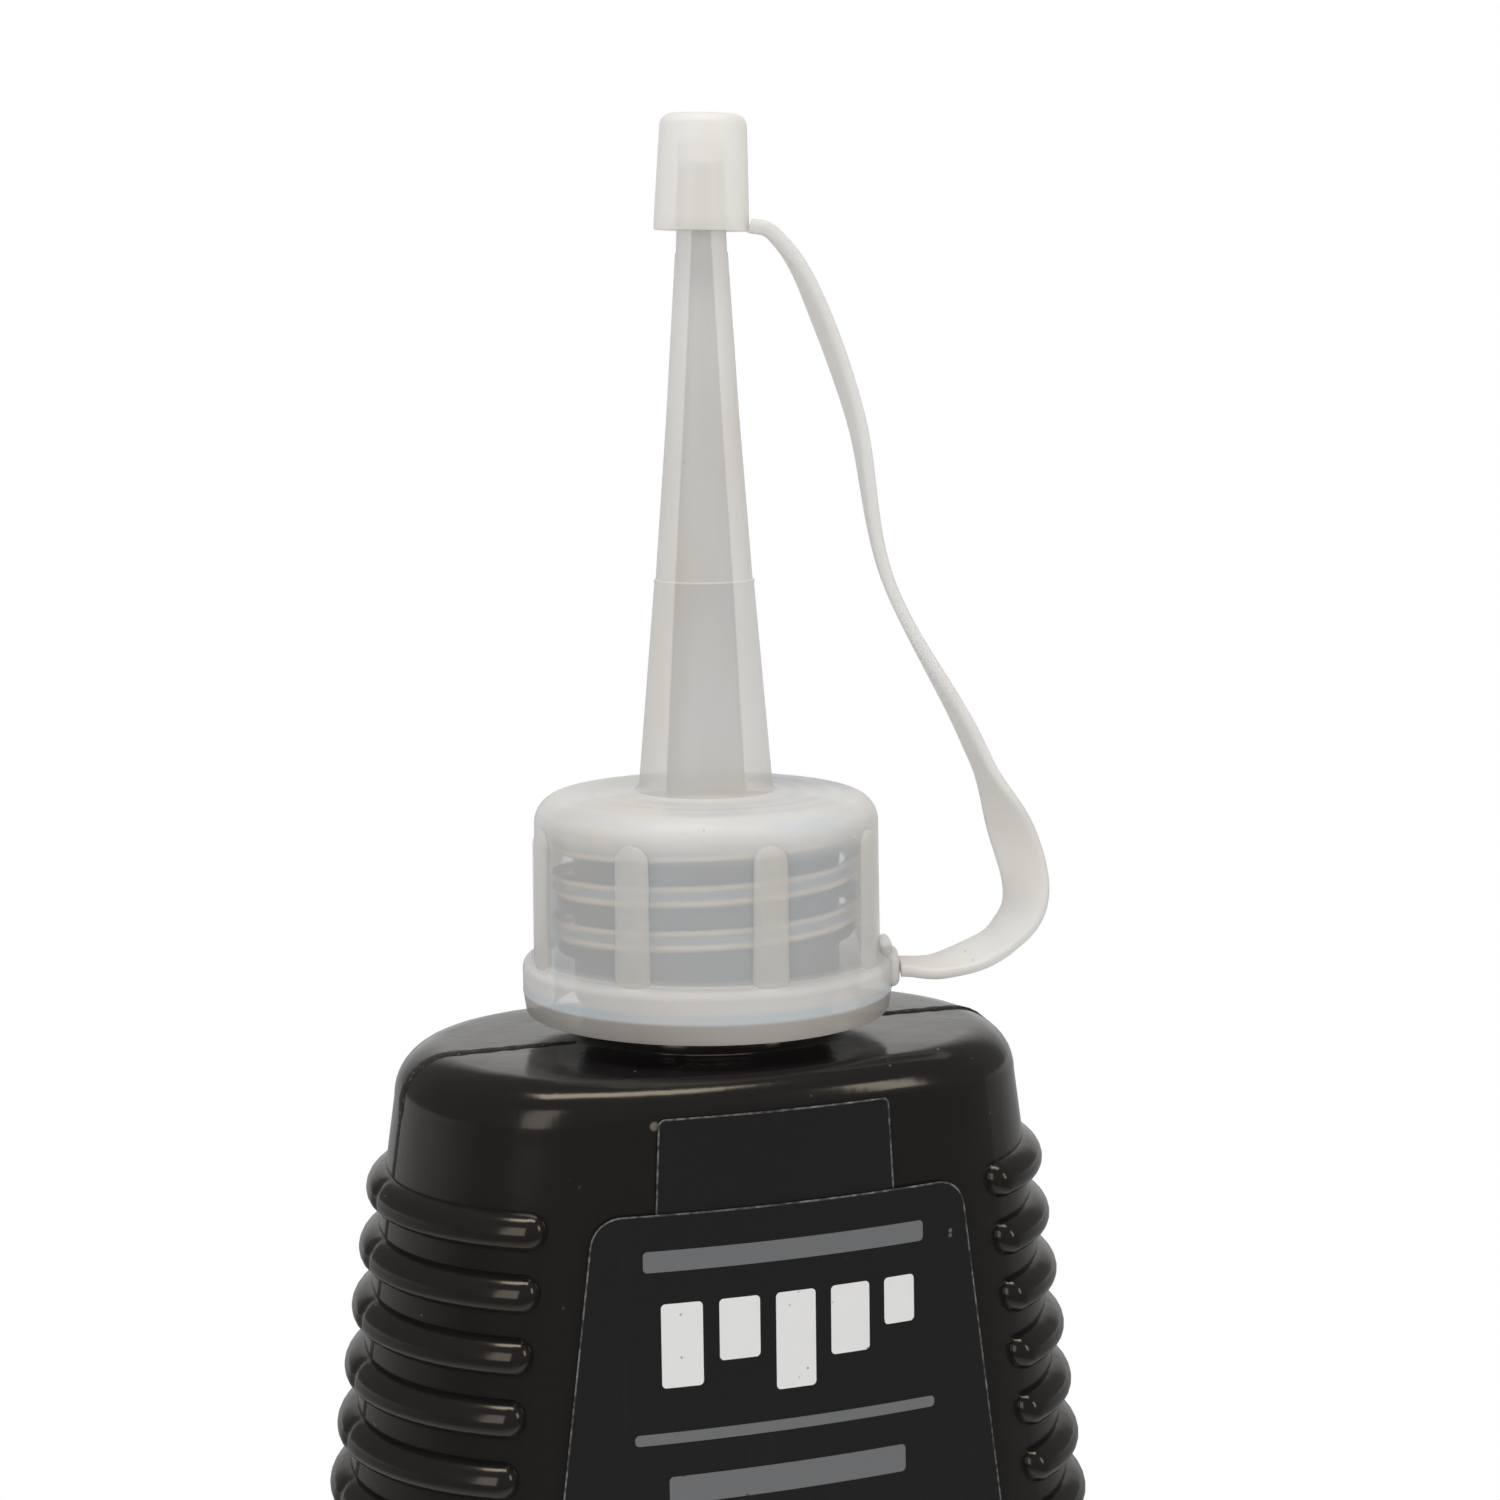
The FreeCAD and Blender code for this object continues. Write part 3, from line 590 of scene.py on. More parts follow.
class BottleForm:
    """Outer form of the bottle: half width, half depth and section at any height."""

    roundness = 0.95

    def __init__(self, sizes):
        self.sizes = sizes
        h, w, d = sizes.height, sizes.half_width, sizes.half_depth
        mid = w - 1.0 * MM
        top = sizes.shoulder_half_width
        self.stations = [
            (sizes.heel_radius, w - 0.7 * MM, d - 0.4 * MM),
            (0.28 * h, w, d),
            (0.55 * h, mid, d - 0.1 * MM),
            (h - sizes.shoulder_radius, top, d - 0.7 * MM),
            (h, top, d - 0.7 * MM),
        ]

    def _straight(self, z, column):
        rows = self.stations
        for low, high in zip(rows, rows[1:]):
            if z <= high[0]:
                share = max(0.0, (z - low[0]) / (high[0] - low[0]))
                return low[column] + share * (high[column] - low[column])
        return rows[-1][column]

    def half(self, z, column):
        """Half width (1) or half depth (2), eased over the stations' corners."""
        reach = min(4.0 * MM, max(0.0, self.sizes.height - self.sizes.shoulder_radius - z))
        reach = min(reach, max(0.0, z - self.sizes.heel_radius))
        spots = [z + reach * k / 3 for k in range(-3, 4)]
        return sum(self._straight(s, column) for s in spots) / len(spots)

    def section(self, z, inset=0.0, front_inset=None):
        """End radius, end centre, front radius and half depth of one level."""
        wide = self.half(z, 1) - inset
        deep = self.half(z, 2) - (inset if front_inset is None else front_inset)
        r_end = deep * self.roundness
        x_end = wide - r_end
        r_front = (x_end**2 + deep**2 - r_end**2) / (2 * (deep - r_end))
        return r_end, x_end, r_front, deep

    def front(self, x, z, proud=0.0):
        """Depth of the front face at a place, as a negative Y."""
        r_end, x_end, r_front, deep = self.section(z, -proud)
        tangent = r_front * x_end / (r_front - r_end)
        if abs(x) <= tangent:
            return -(math.sqrt(r_front**2 - x * x) - (r_front - deep))
        return -math.sqrt(max(0.0, r_end**2 - (abs(x) - x_end) ** 2))

    def ring(self, z, inset=0.0, height=None, rib=None, front_inset=None):
        """Points of one level; rib is that level's cut through a grip rib."""
        r_end, x_end, r_front, deep = self.section(z, inset, front_inset)
        tip = math.atan2(r_front - deep, x_end)
        level = z if height is None else height
        cut = rib or RibCut(self.sizes, 0.5 * self.sizes.grip_height)
        quarter = []
        for angle in cut.columns(tip, r_end):
            r = r_end + (cut.proud(angle, r_end) if rib else 0.0)
            quarter.append((x_end + r * math.cos(angle), r * math.sin(angle)))
        for angle in spread(tip, math.pi / 2, 14):
            x = r_front * math.cos(angle)
            quarter.append((x, r_front * math.sin(angle) - (r_front - deep)))
        second = [(-x, y) for x, y in reversed(quarter[:-1])]
        third = [(-x, -y) for x, y in quarter[1:]]
        fourth = [(x, -y) for x, y in reversed(quarter[1:-1])]
        return [(x, y, level) for x, y in quarter + second + third + fourth]


class RibCut:
    """Level cut through a grip rib: a round roll, sunk a little, with round ends."""

    half_sweep = math.radians(62.0)

    def __init__(self, sizes, offset):
        self.offset = offset
        self.round = 0.5 * sizes.grip_height
        self.sunk = self.round - sizes.grip_proud
        self.reach = math.sqrt(max(0.0, self.round**2 - self.sunk**2 - offset**2))

    def proud(self, angle, radius):
        """How far the rib stands out of the wall at an angle of the rounded end."""
        along = max(0.0, (angle - self.half_sweep) * radius + self.round)
        inside = self.round**2 - self.offset**2 - along**2
        out = math.sqrt(inside) - self.sunk if inside > self.sunk**2 else 0.0
        notch = math.exp(-((angle * radius / (0.45 * MM)) ** 2))
        return out * (1.0 - 0.22 * notch)

    def columns(self, tip, radius):
        """Angles along a quarter of the end, gathered where the rib's end curves in."""
        begin = self.half_sweep - self.round / radius
        edge = begin + max(0.15 * self.round, self.reach) / radius
        notch = [math.radians(a) for a in (0.0, 1.0, 2.2, 4.0)]
        angles = notch + spread(notch[-1], begin, 10)
        angles += [begin + (edge - begin) * math.sin(a) for a in spread(0, math.pi / 2, 9)]
        last = edge + 0.06 * MM / radius
        return angles + [last] + spread(last, tip, 4)


def bottle_levels(form):
    """Rings of the whole bottle skin, from the push-up round and back to the floor."""
    s = form.sizes
    heel, push_up = s.heel_radius, 1.5 * MM
    foot = mm_points([(7.6, 1.5), (6.9, 1.45), (6.6, 1.2), (6.4, 0.5), (6.2, 0.12), (5.9, 0.0)])
    rings = [form.ring(heel, inset, height) for inset, height in foot]
    rings += [form.ring(heel, heel * (1 - sin), heel * (1 - cos)) for cos, sin in quarter_turn(8)]
    top = s.height - s.shoulder_radius
    z = heel
    low_rib = s.grip_first - (s.grip_count - 1) * s.grip_pitch - 0.5 * s.grip_height
    crease = math.sqrt((0.5 * s.grip_height) ** 2 - (0.5 * s.grip_height - s.grip_proud) ** 2)
    while z < low_rib - 3.5 * MM:
        z += 2.2 * MM
        rings.append(form.ring(z))
    for k in reversed(range(s.grip_count)):
        middle = s.grip_first - k * s.grip_pitch
        rings += [form.ring(middle - crease - gap * MM) for gap in (0.5, 0.06)]
        for i in range(-7, 8):
            offset = crease * math.sin(math.pi / 2 * i / 7)
            rings.append(form.ring(middle + offset, rib=RibCut(s, offset)))
        rings += [form.ring(middle + crease + gap * MM) for gap in (0.06, 0.3)]
    z = s.grip_first + 0.5 * s.grip_height + 1.2 * MM
    while z < top - 0.8 * MM:
        rings.append(form.ring(z))
        z += 1.3 * MM
    for cos, sin in quarter_turn(10):
        draw = s.shoulder_radius * (1 - cos)
        rise = s.shoulder_radius * sin
        above = max(0.0, rise - (s.shoulder_radius - s.shoulder_front))
        front_draw = s.shoulder_front - math.sqrt(max(0.0, s.shoulder_front**2 - above**2))
        rings.append(form.ring(top, draw, top + rise, front_inset=front_draw))
    plane = rings[-1]

    def round_ring(radius, height, share=1.0):
        points = []
        for x, y, _ in plane:
            flat = math.hypot(x, y)
            wanted = radius * share + flat * (1 - share)
            points.append((x * wanted / flat, y * wanted / flat, height))
        return points

    stub = s.neck_radius - 0.45 * MM
    h = s.height
    rings.append(round_ring(stub + 1.3 * MM, h + 0.02 * MM, 0.5))
    neck = [(1.1, 0.05), (0.55, 0.16), (0.2, 0.42), (0.03, 0.85), (0.0, 1.3), (0.0, 2.3)]
    profile = mm_points(neck, stub, h)
    rim = h + 15.3 * MM
    profile += mm_points([(0, 2.9)], s.neck_radius, h)
    profile += mm_points([(0, -0.5), (-0.15, -0.15), (-0.5, 0)], s.neck_radius, rim)
    profile += mm_points([(0.4, 0), (0, -0.4)], s.neck_bore, rim)
    profile += mm_points([(0, -0.6)], s.neck_bore, h)
    profile += mm_points([(0.6, 0)], s.neck_bore, h - s.wall)
    rings += [round_ring(r, z) for r, z in profile]
    inner = s.shoulder_radius - s.wall
    for cos, sin in reversed(quarter_turn(4)):
        rings.append(form.ring(top, s.wall + inner * (1 - cos), top + inner * sin))
    z = top - 6 * MM
    while z > 8 * MM:
        rings.append(form.ring(z, s.wall))
        z -= 6 * MM
    floor = s.wall + push_up
    inner = heel - s.wall
    for cos, sin in quarter_turn(3):
        rings.append(form.ring(heel, s.wall + inner * (1 - cos), floor + inner * (1 - sin)))
    return rings


def sweep_bead(bm, path, across, half_width, proud, sunk):
    """Low rounded bead along a path; across is the direction of its width."""
    section = []
    for a in turns(8):
        lift = proud if math.sin(a) > 0 else sunk
        section.append((half_width * math.cos(a), lift * math.sin(a)))
    rings = []
    for point, along in zip(path, tangents(path)):
        up = across.cross(along).normalized()
        rings.append([point + across * a + up * b for a, b in section])
    stack_rings(bm, rings)


# --- operators


def sizes_of(context):
    return context.scene.puffer_bottle, context.scene.puffer_closure, context.scene.puffer_colours


class PUFFER_OT_bottle(bpy.types.Operator):
    """Build the bottle's hollow shell, its neck thread and its parting ridge"""

    bl_idname = "puffer.bottle"
    bl_label = "Bottle"

    def execute(self, context):
        sizes, closure, colours = sizes_of(context)
        form = BottleForm(sizes)
        black = black_plastic(colours.black)
        bm = bmesh.new()
        stack_rings(bm, bottle_levels(form))
        shell = finish_piece("bottle_shell", bm, [black], "bottle", 50)
        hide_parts("bottle_body")

        bm = bmesh.new()
        root, crest = sizes.neck_radius - 0.15 * MM, 10.95 * MM
        halves, start_z, rounds = (0.85 * MM, 0.28 * MM), sizes.height + 5.19 * MM, 2.2
        pitch = closure.thread_pitch
        wind_thread(bm, (root, crest), halves, start_z, pitch, rounds, root - crest)
        finish_piece("neck_thread", bm, [black], "bottle", 40)

        ridge = rough_ridge()
        half_width, proud, sunk = 0.55 * MM, 0.25 * MM, 0.14 * MM
        for side, name in ((1, "right"), (-1, "left")):
            bm = bmesh.new()
            across = Vector((0, side, 0))
            sweep_bead(bm, seam_path(form, side), across, half_width, proud, sunk)
            finish_piece("parting_ridge_" + name, bm, [ridge], "bottle", 60)
        return {"FINISHED"}


def seam_path(form, side):
    """Line of the parting plane from the neck's foot over the shoulder to the heel."""
    s = form.sizes
    top = s.height - s.shoulder_radius
    edge = form.half(top, 1)
    points = []
    x = s.neck_radius + 0.6 * MM
    while x < edge - s.shoulder_radius - 0.5 * MM:
        wave = 0.03 * MM * math.sin(x / MM * 3.1 + side)
        points.append(Vector((side * x, 0, s.height + wave)))
        x += 0.8 * MM
    for cos, sin in quarter_turn(8):
        x = edge - s.shoulder_radius * (1 - sin)
        points.append(Vector((side * x, 0, top + s.shoulder_radius * cos)))
    z = top - 1.0 * MM
    while z > s.heel_radius:
        points.append(Vector((side * (form.half(z, 1) - 0.10 * MM), 0, z)))
        z -= 1.5 * MM
    return points


# label outlines are (x, z) points seen from the front


def rounded_outline(corners, radii, steps):
    """Outline of straight sides, each corner rounded by its radius."""
    spots = [Vector(corner) for corner in corners]
    points = []
    for before, here, after, r in zip(spots[-1:] + spots, spots, spots[1:] + spots[:1], radii):
        back = (before - here).normalized()
        ahead = (after - here).normalized()
        half = back.angle(ahead) / 2
        centre = here + (back + ahead).normalized() * (r / math.sin(half))
        start = here + back * (r / math.tan(half)) - centre
        stop = here + ahead * (r / math.tan(half)) - centre
        for k in range(steps + 1):
            points.append(tuple(centre + start.lerp(stop, k / steps).normalized() * r))
    return points


def film_mesh(form, outline, proud, thickness):
    """Thin film over the bottle's front, cut to an outline."""
    pitch, margin = 1.6 * MM, 0.05 * MM
    bm = bmesh.new()
    verts = [bm.verts.new((x, 0, z)) for x, z in outline]
    bm.faces.new(verts)
    for axis, normal, step in (
        (0, Vector((1, 0, 0)), pitch), (2, Vector((0, 0, 1)), 2 * pitch),
    ):
        spots = [vert.co[axis] for vert in bm.verts]
        place = step * math.ceil((min(spots) + margin) / step)
        while place < max(spots) - margin:
            bmesh.ops.bisect_plane(
                bm, geom=bm.verts[:] + bm.edges[:] + bm.faces[:], plane_co=normal * place,
                plane_no=normal, dist=1e-7,
            )
            place += step
    for vert in bm.verts:
        vert.co.y = form.front(vert.co.x, vert.co.z, proud)
    bmesh.ops.recalc_face_normals(bm, faces=bm.faces)
    facing = sum(face.normal.y * face.calc_area() for face in bm.faces)
    if facing > 0:
        bmesh.ops.reverse_faces(bm, faces=bm.faces)
    bmesh.ops.solidify(bm, geom=bm.faces[:], thickness=-thickness)
    return bm


def label_shape(inset=0.0):
    """Corners of the trapezoid label, from the lower left, turning to the right."""
    top, foot = 80.9 * MM - inset, 16.9 * MM + inset
    wide_top = 13.9 * MM - inset
    wide_foot = 22.09 * MM - inset
    return [(-wide_foot, foot), (wide_foot, foot), (wide_top, top), (-wide_top, top)]


# plain rules and bars, like the pins of a lock: ink and (left, low, right, high) in millimetres
MARKS = {
    "print_rule_top": ("grey", [(-10.6, 76.9, 10.6, 78.4)]),
    "print_pins": ("white", [
        (-9.4, 68.6, -6.4, 74.6), (-5.2, 70.2, -2.2, 74.6), (-1.0, 67.6, 2.0, 74.6),
        (3.2, 69.6, 6.2, 74.6), (7.4, 71.2, 9.8, 74.6),
    ]),
    "print_rule_middle": ("grey", [(-11.4, 64.6, 11.4, 65.4)]),
    "print_bar_grey": ("grey", [(-9.0, 60.2, 9.0, 62.2)]),
    "print_block": ("white", [(-12.4, 50.6, 12.4, 56.8)]),
    "print_rule_low": ("grey", [(-14.6, 24.0, 14.6, 24.9), (-14.6, 21.6, 14.6, 22.5)]),
}


class PUFFER_OT_labels(bpy.types.Operator):
    """Build both label plies, their pale cut edges and the plain print"""

    bl_idname = "puffer.labels"
    bl_label = "Labels"

    def execute(self, context):
        sizes, _, colours = sizes_of(context)
        form = BottleForm(sizes)
        film = label_film("label_film_black", colours.film)
        base = label_film("label_base_black", colours.film)
        edge = film_edge()

        base_lift, top_lift = 0.03 * MM, 0.20 * MM
        shape = label_shape(0.8 * MM)
        rise, peak = shape[2][1], 87.55 * MM
        head = [(8.35 * MM, rise), (7.95 * MM, peak), (-9.2 * MM, peak), (-9.55 * MM, rise)]
        shape = shape[:3] + head + shape[3:]
        radii = [r * MM for r in (2, 2, 2, 0.2, 0.45, 0.45, 0.2, 2)]
        outline = rounded_outline(shape, radii, 6)
        bm = film_mesh(form, outline, base_lift, PLY)
        under = finish_piece("label_base_ply", bm, [base], "bottle", 60)
        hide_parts("under_label")
        self.cut_edge(form, outline, "label_base_edge", base_lift + PLY, edge)

        outline = rounded_outline(label_shape(), [2.2 * MM] * 4, 8)
        bm = film_mesh(form, outline, top_lift, PLY)
        top = finish_piece("label_top_ply", bm, [film], "bottle", 60)
        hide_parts("front_label")
        self.cut_edge(form, outline, "label_top_edge", top_lift + PLY, edge)
        self.print_marks(form, colours)
        return {"FINISHED"}

    def cut_edge(self, form, outline, name, proud, material):
        """Fine bead along a film's cut edge."""
        half_width, half_height, span = 0.07 * MM, 0.03 * MM, 1.5 * MM
        section = [(half_width * math.cos(a), half_height * math.sin(a)) for a in turns(6)]
        outward = Vector((0, -1, 0))
        bm = bmesh.new()
        rings = []
        count = len(outline)
        spots = [Vector((x, 0, z)) for x, z in outline]
        for i, (x, z) in enumerate(outline + outline[:1]):
            here = Vector((x, form.front(x, z, proud), z))
            along = (spots[(i + 1) % count] - spots[(i - 1) % count]).normalized()
            side = outward.cross(along).normalized()
            rings.append([here + side * a + outward * b for a, b in section])
        longer = []
        for first, second in zip(rings, rings[1:]):
            gap = (second[0] - first[0]).length
            parts = max(1, int(gap / span))
            for k in range(parts):
                ring = [a.lerp(b, k / parts) for a, b in zip(first, second)]
                if k:
                    centre = sum(ring, Vector()) / len(ring)
                    shift = form.front(centre.x, centre.z, proud) - centre.y
                    ring = [p - outward * shift for p in ring]
                longer.append(ring)
        longer.append(rings[-1])
        stack_rings(bm, longer)
        finish_piece(name, bm, [material], "bottle", 80)

    def print_marks(self, form, colours):
        """Print the marks, which have no lettering."""
        lift, depth, radii = 0.345 * MM, 0.015 * MM, [0.3 * MM] * 4
        inks = {
            "white": ink("ink_white", colours.print_white),
            "grey": ink("ink_grey", colours.print_grey),
        }
        for name, (shade, bars) in MARKS.items():
            whole = bmesh.new()
            for left, low, right, high in bars:
                corners = mm_points([(left, low), (right, low), (right, high), (left, high)])
                part = film_mesh(form, rounded_outline(corners, radii, 3), lift, depth)
                mesh = bpy.data.meshes.new("part")
                part.to_mesh(mesh)
                part.free()
                whole.from_mesh(mesh)
                bpy.data.meshes.remove(mesh)
            finish_piece(name, whole, [inks[shade]], "bottle", 60)


class PUFFER_OT_closure(bpy.types.Operator):
    """Build the screw collar with its grip ribs and lug, and the nozzle"""

    bl_idname = "puffer.closure"
    bl_label = "Closure"

    def execute(self, context):
        _, closure, colours = sizes_of(context)
        foot = closure.foot
        skin = collar_skin(tuple(colours.milky), foot)
        nozzle_skin = milky_skin("nozzle_milky_skin", colours.milky, 0.58)
        wall = threaded_wall(closure.thread_pitch, foot)
        bore = shaded_bore_wall(colours.bore)

        bm = bmesh.new()
        deck_under = foot + closure.deck - 1.4 * MM
        join = mm_points([(3.0, 0)], height=deck_under)
        join += mm_points([(2.1, 31.5), (1.4, 43.0), (0.75, 55.0)], height=foot)
        join += mm_points([(0.5, -0.1), (0.6, 0)], height=foot + closure.nozzle_tip)
        inner = mm_points([(11.3, 0.02)], height=foot)
        inner += mm_points([(11.3, -0.5), (10.8, 0)], height=deck_under)
        spin_outline(bm, collar_outline(closure) + join[::-1] + inner[::-1], 112)
        wall_slot, bore_slot, nozzle_slot = 1, 2, 3
        bore_foot, taper, slack = 3.0 * MM, 0.047, 0.25 * MM
        for face in bm.faces:
            flat, height = face_place(face)
            rise = height - foot
            if rise > closure.deck + 0.35 * MM:
                # along the nozzle the bore narrows steadily
                bore_here = bore_foot - (rise - 14.5 * MM) * taper + slack
                inside = flat < max(0.75 * MM, bore_here) and rise < closure.nozzle_tip - 0.3 * MM
                face.material_index = bore_slot if inside else nozzle_slot
            elif flat < 11.4 * MM and rise < closure.deck - 1.2 * MM:
                face.material_index = wall_slot
            elif flat < 3.2 * MM:
                face.material_index = bore_slot
        shell = finish_piece(
            "closure_shell", bm, [skin, wall, bore, nozzle_skin], "closure", 40
        )
        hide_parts("spout_closure")

        bm = bmesh.new()
        grip_skin = milky_skin("grip_milky_skin", colours.milky, 0.42)
        first, step = closure.turned + math.radians(-1.8), 2 * math.pi / closure.rib_count
        for i in range(closure.rib_count):
            self.grip(bm, closure, first + step * (i + 0.5))
        finish_piece("closure_grips", bm, [grip_skin], "closure", 50)

        bm = bmesh.new()
        radii, halves = (11.35 * MM, 10.25 * MM), (0.8 * MM, 0.25 * MM)
        start_z, rounds, sink = foot + 4.87 * MM, 2.6, 1.0 * MM
        wind_thread(bm, radii, halves, start_z, closure.thread_pitch, rounds, sink)
        finish_piece("closure_thread", bm, [wall], "closure", 40)

        self.lug(closure, skin)
        return {"FINISHED"}

    def grip(self, bm, closure, angle):
        """One upright grip rib: a flattened capsule with round ends."""
        half, squash, flare_more = 1.325 * MM, 0.42, 0.18
        low, high = closure.foot + 4.6 * MM, closure.foot + 12.6 * MM
        made = bmesh.ops.create_uvsphere(bm, u_segments=20, v_segments=14, radius=half)["verts"]
        for vert in made:
            lift = high if vert.co.z > 0 else low
            if abs(vert.co.z) < 1e-7:
                lift = 0.5 * (low + high)
            vert.co.z += lift
            vert.co.x = closure.skirt_radius - 0.06 * MM + vert.co.x * squash
            flare = max(0.0, (closure.foot + 5.2 * MM - vert.co.z) / (2.0 * MM))
            vert.co.y *= 1.0 + flare_more * min(1.0, flare)
        bmesh.ops.rotate(bm, verts=made, cent=(0, 0, 0), matrix=Matrix.Rotation(angle, 3, "Z"))

    def lug(self, closure, skin):
        """Rounded lug on the flange where the strap starts."""
        bm = bmesh.new()
        reach, middle = 13.5 * MM, closure.foot + 2.85 * MM
        deep, wide, tall = 1.2 * MM, 4.0 * MM, 2.5 * MM
        for vert in bmesh.ops.create_cube(bm, size=1.0)["verts"]:
            vert.co.x = reach + vert.co.x * deep
            vert.co.y *= wide
            vert.co.z = middle + vert.co.z * tall
        bmesh.ops.bevel(
            bm, geom=bm.edges[:], offset=0.55 * MM, offset_type="OFFSET", affect="EDGES",
            segments=4, profile=0.5, material=-1,
        )
        ball = bmesh.ops.create_uvsphere(bm, u_segments=20, v_segments=12, radius=1.1 * MM)
        for vert in ball["verts"]:
            vert.co.x = 13.0 * MM + vert.co.x * 0.62
            vert.co.y *= 1.35
            vert.co.z = closure.foot + 3.9 * MM + vert.co.z * 1.2
        turn_mesh(bm, closure.turned)
        finish_piece("closure_lug", bm, [skin], "closure", 60)


def collar_outline(closure):
    """Outside of collar and nozzle as (radius, height) points, from foot to tip."""
    f = closure.foot
    flange = closure.flange_radius
    skirt = closure.skirt_radius
    lip = skirt - 0.15 * MM
    deck = f + closure.deck
    points = mm_points(
        [(-0.32, 0), (-0.24, 0.08), (-0.03, 1.42), (0.0, 1.5), (-0.02, 1.6)], flange, f
    )
    points += arc_points((flange - 0.75 * MM, f + 3.15 * MM), 0.75 * MM, 0, 80, 7)
    points += mm_points([(0.2, 3.98), (0.04, 4.1), (-0.02, 4.4)], skirt, f)
    points += arc_points((lip - 2.0 * MM, deck - 2.0 * MM), 2.0 * MM, 0, 88, 12)
    # shallow rings of the deck round the nozzle
    points += mm_points(
        [(9.9, 0.03), (9.5, 0.10), (8.3, 0.12), (8.0, 0.05), (7.5, 0.08), (6.4, 0.17),
         (6.1, 0.12), (5.6, 0.22), (5.2, 0.34), (5.0, 0.5), (4.88, 0.8)], height=deck
    )
    points += mm_points(
        [(3.62, 31.3), (3.66, 31.42), (3.66, 31.5), (3.52, 31.62), (2.65, 43.1),
         (1.90, 54.9), (1.84, 55.0), (1.62, 61.0)], height=f
    )
    points.append((1.5 * MM, f + closure.nozzle_tip))
    return points


# the strap's middle line over the collar's foot: reach from the axis and rise
STRAP_LINE = (
    (14.22, 2.80), (17.45, 2.90), (21.73, 4.91), (23.40, 9.40), (19.36, 19.79),
    (13.30, 31.50), (11.04, 43.00), (7.71, 52.35), (5.24, 56.15), (3.46, 56.85),
)


def smooth_line(points):
    """Points of a Catmull-Rom curve through the given ones."""
    per_span = 14
    rows = [2 * points[0] - points[1]] + list(points) + [2 * points[-1] - points[-2]]
    line = []
    for a, b, c, d in zip(rows, rows[1:], rows[2:], rows[3:]):
        for k in range(per_span):
            t = k / per_span
            line.append(
                0.5 * (2 * b + (c - a) * t + (2 * a - 5 * b + 4 * c - d) * t * t
                       + (3 * b - a - 3 * c + d) * t * t * t)
            )
    line.append(points[-1])
    return line


def strap_twist(share):
    """Twist of the strap's width, in radians, along its length."""
    keys = ((0.0, 0.0), (0.10, 27.0), (0.22, 78.0), (0.34, 16.0), (0.55, 0.0), (0.85, 14.0),
            (1.0, 0.0))
    for (u0, a0), (u1, a1) in zip(keys, keys[1:]):
        if share <= u1:
            f = (share - u0) / (u1 - u0)
            return math.radians(a0 + (a1 - a0) * f * f * (3 - 2 * f))
    return 0.0


class PUFFER_OT_strap(bpy.types.Operator):
    """Build the moulded strap from the collar's lug to the tip cap"""

    bl_idname = "puffer.strap"
    bl_label = "Strap"

    def execute(self, context):
        _, closure, colours = sizes_of(context)
        points = [Vector((r * MM, 0, closure.foot + z * MM)) for r, z in STRAP_LINE]
        line = smooth_line(points)
        lengths = [0.0]
        for first, second in zip(line, line[1:]):
            lengths.append(lengths[-1] + (second - first).length)
        rings = []
        for point, along, length_here in zip(line, tangents(line), lengths):
            share = length_here / lengths[-1]
            across = Quaternion(along, strap_twist(share)) @ Vector((0, 1, 0))
            flat = along.cross(across)
            rings.append([point + across * a + flat * b for a, b in strap_section(share)])
        bm = bmesh.new()
        stack_rings(bm, rings)
        turn_mesh(bm, closure.turned)
        skin = milky_skin("strap_milky_skin", tuple(1.04 * c for c in colours.milky), 0.72, 0.1)
        strap = finish_piece("strap_band", bm, [skin], None, 60)
        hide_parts("cap_strap")
        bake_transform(strap)
        return {"FINISHED"}


def strap_section(share):
    """Rounded flat section with slightly thicker edges: (across, thick) points."""
    half_w, half_t = 1.75 * MM, 0.5 * MM
    grow = 1.0 + 0.12 * max(0.0, 1.0 - share / 0.06) + 0.14 * max(0.0, (share - 0.85) / 0.15)
    points = []
    for a in turns(20):
        c, s = math.cos(a), math.sin(a)
        across = half_w * math.copysign(abs(c) ** 0.45, c)
        thick = half_t * math.copysign(abs(s) ** 0.5, s)
        thick *= 0.86 + 0.14 * (across / half_w) ** 2
        points.append((across * grow, thick * grow))
    return points


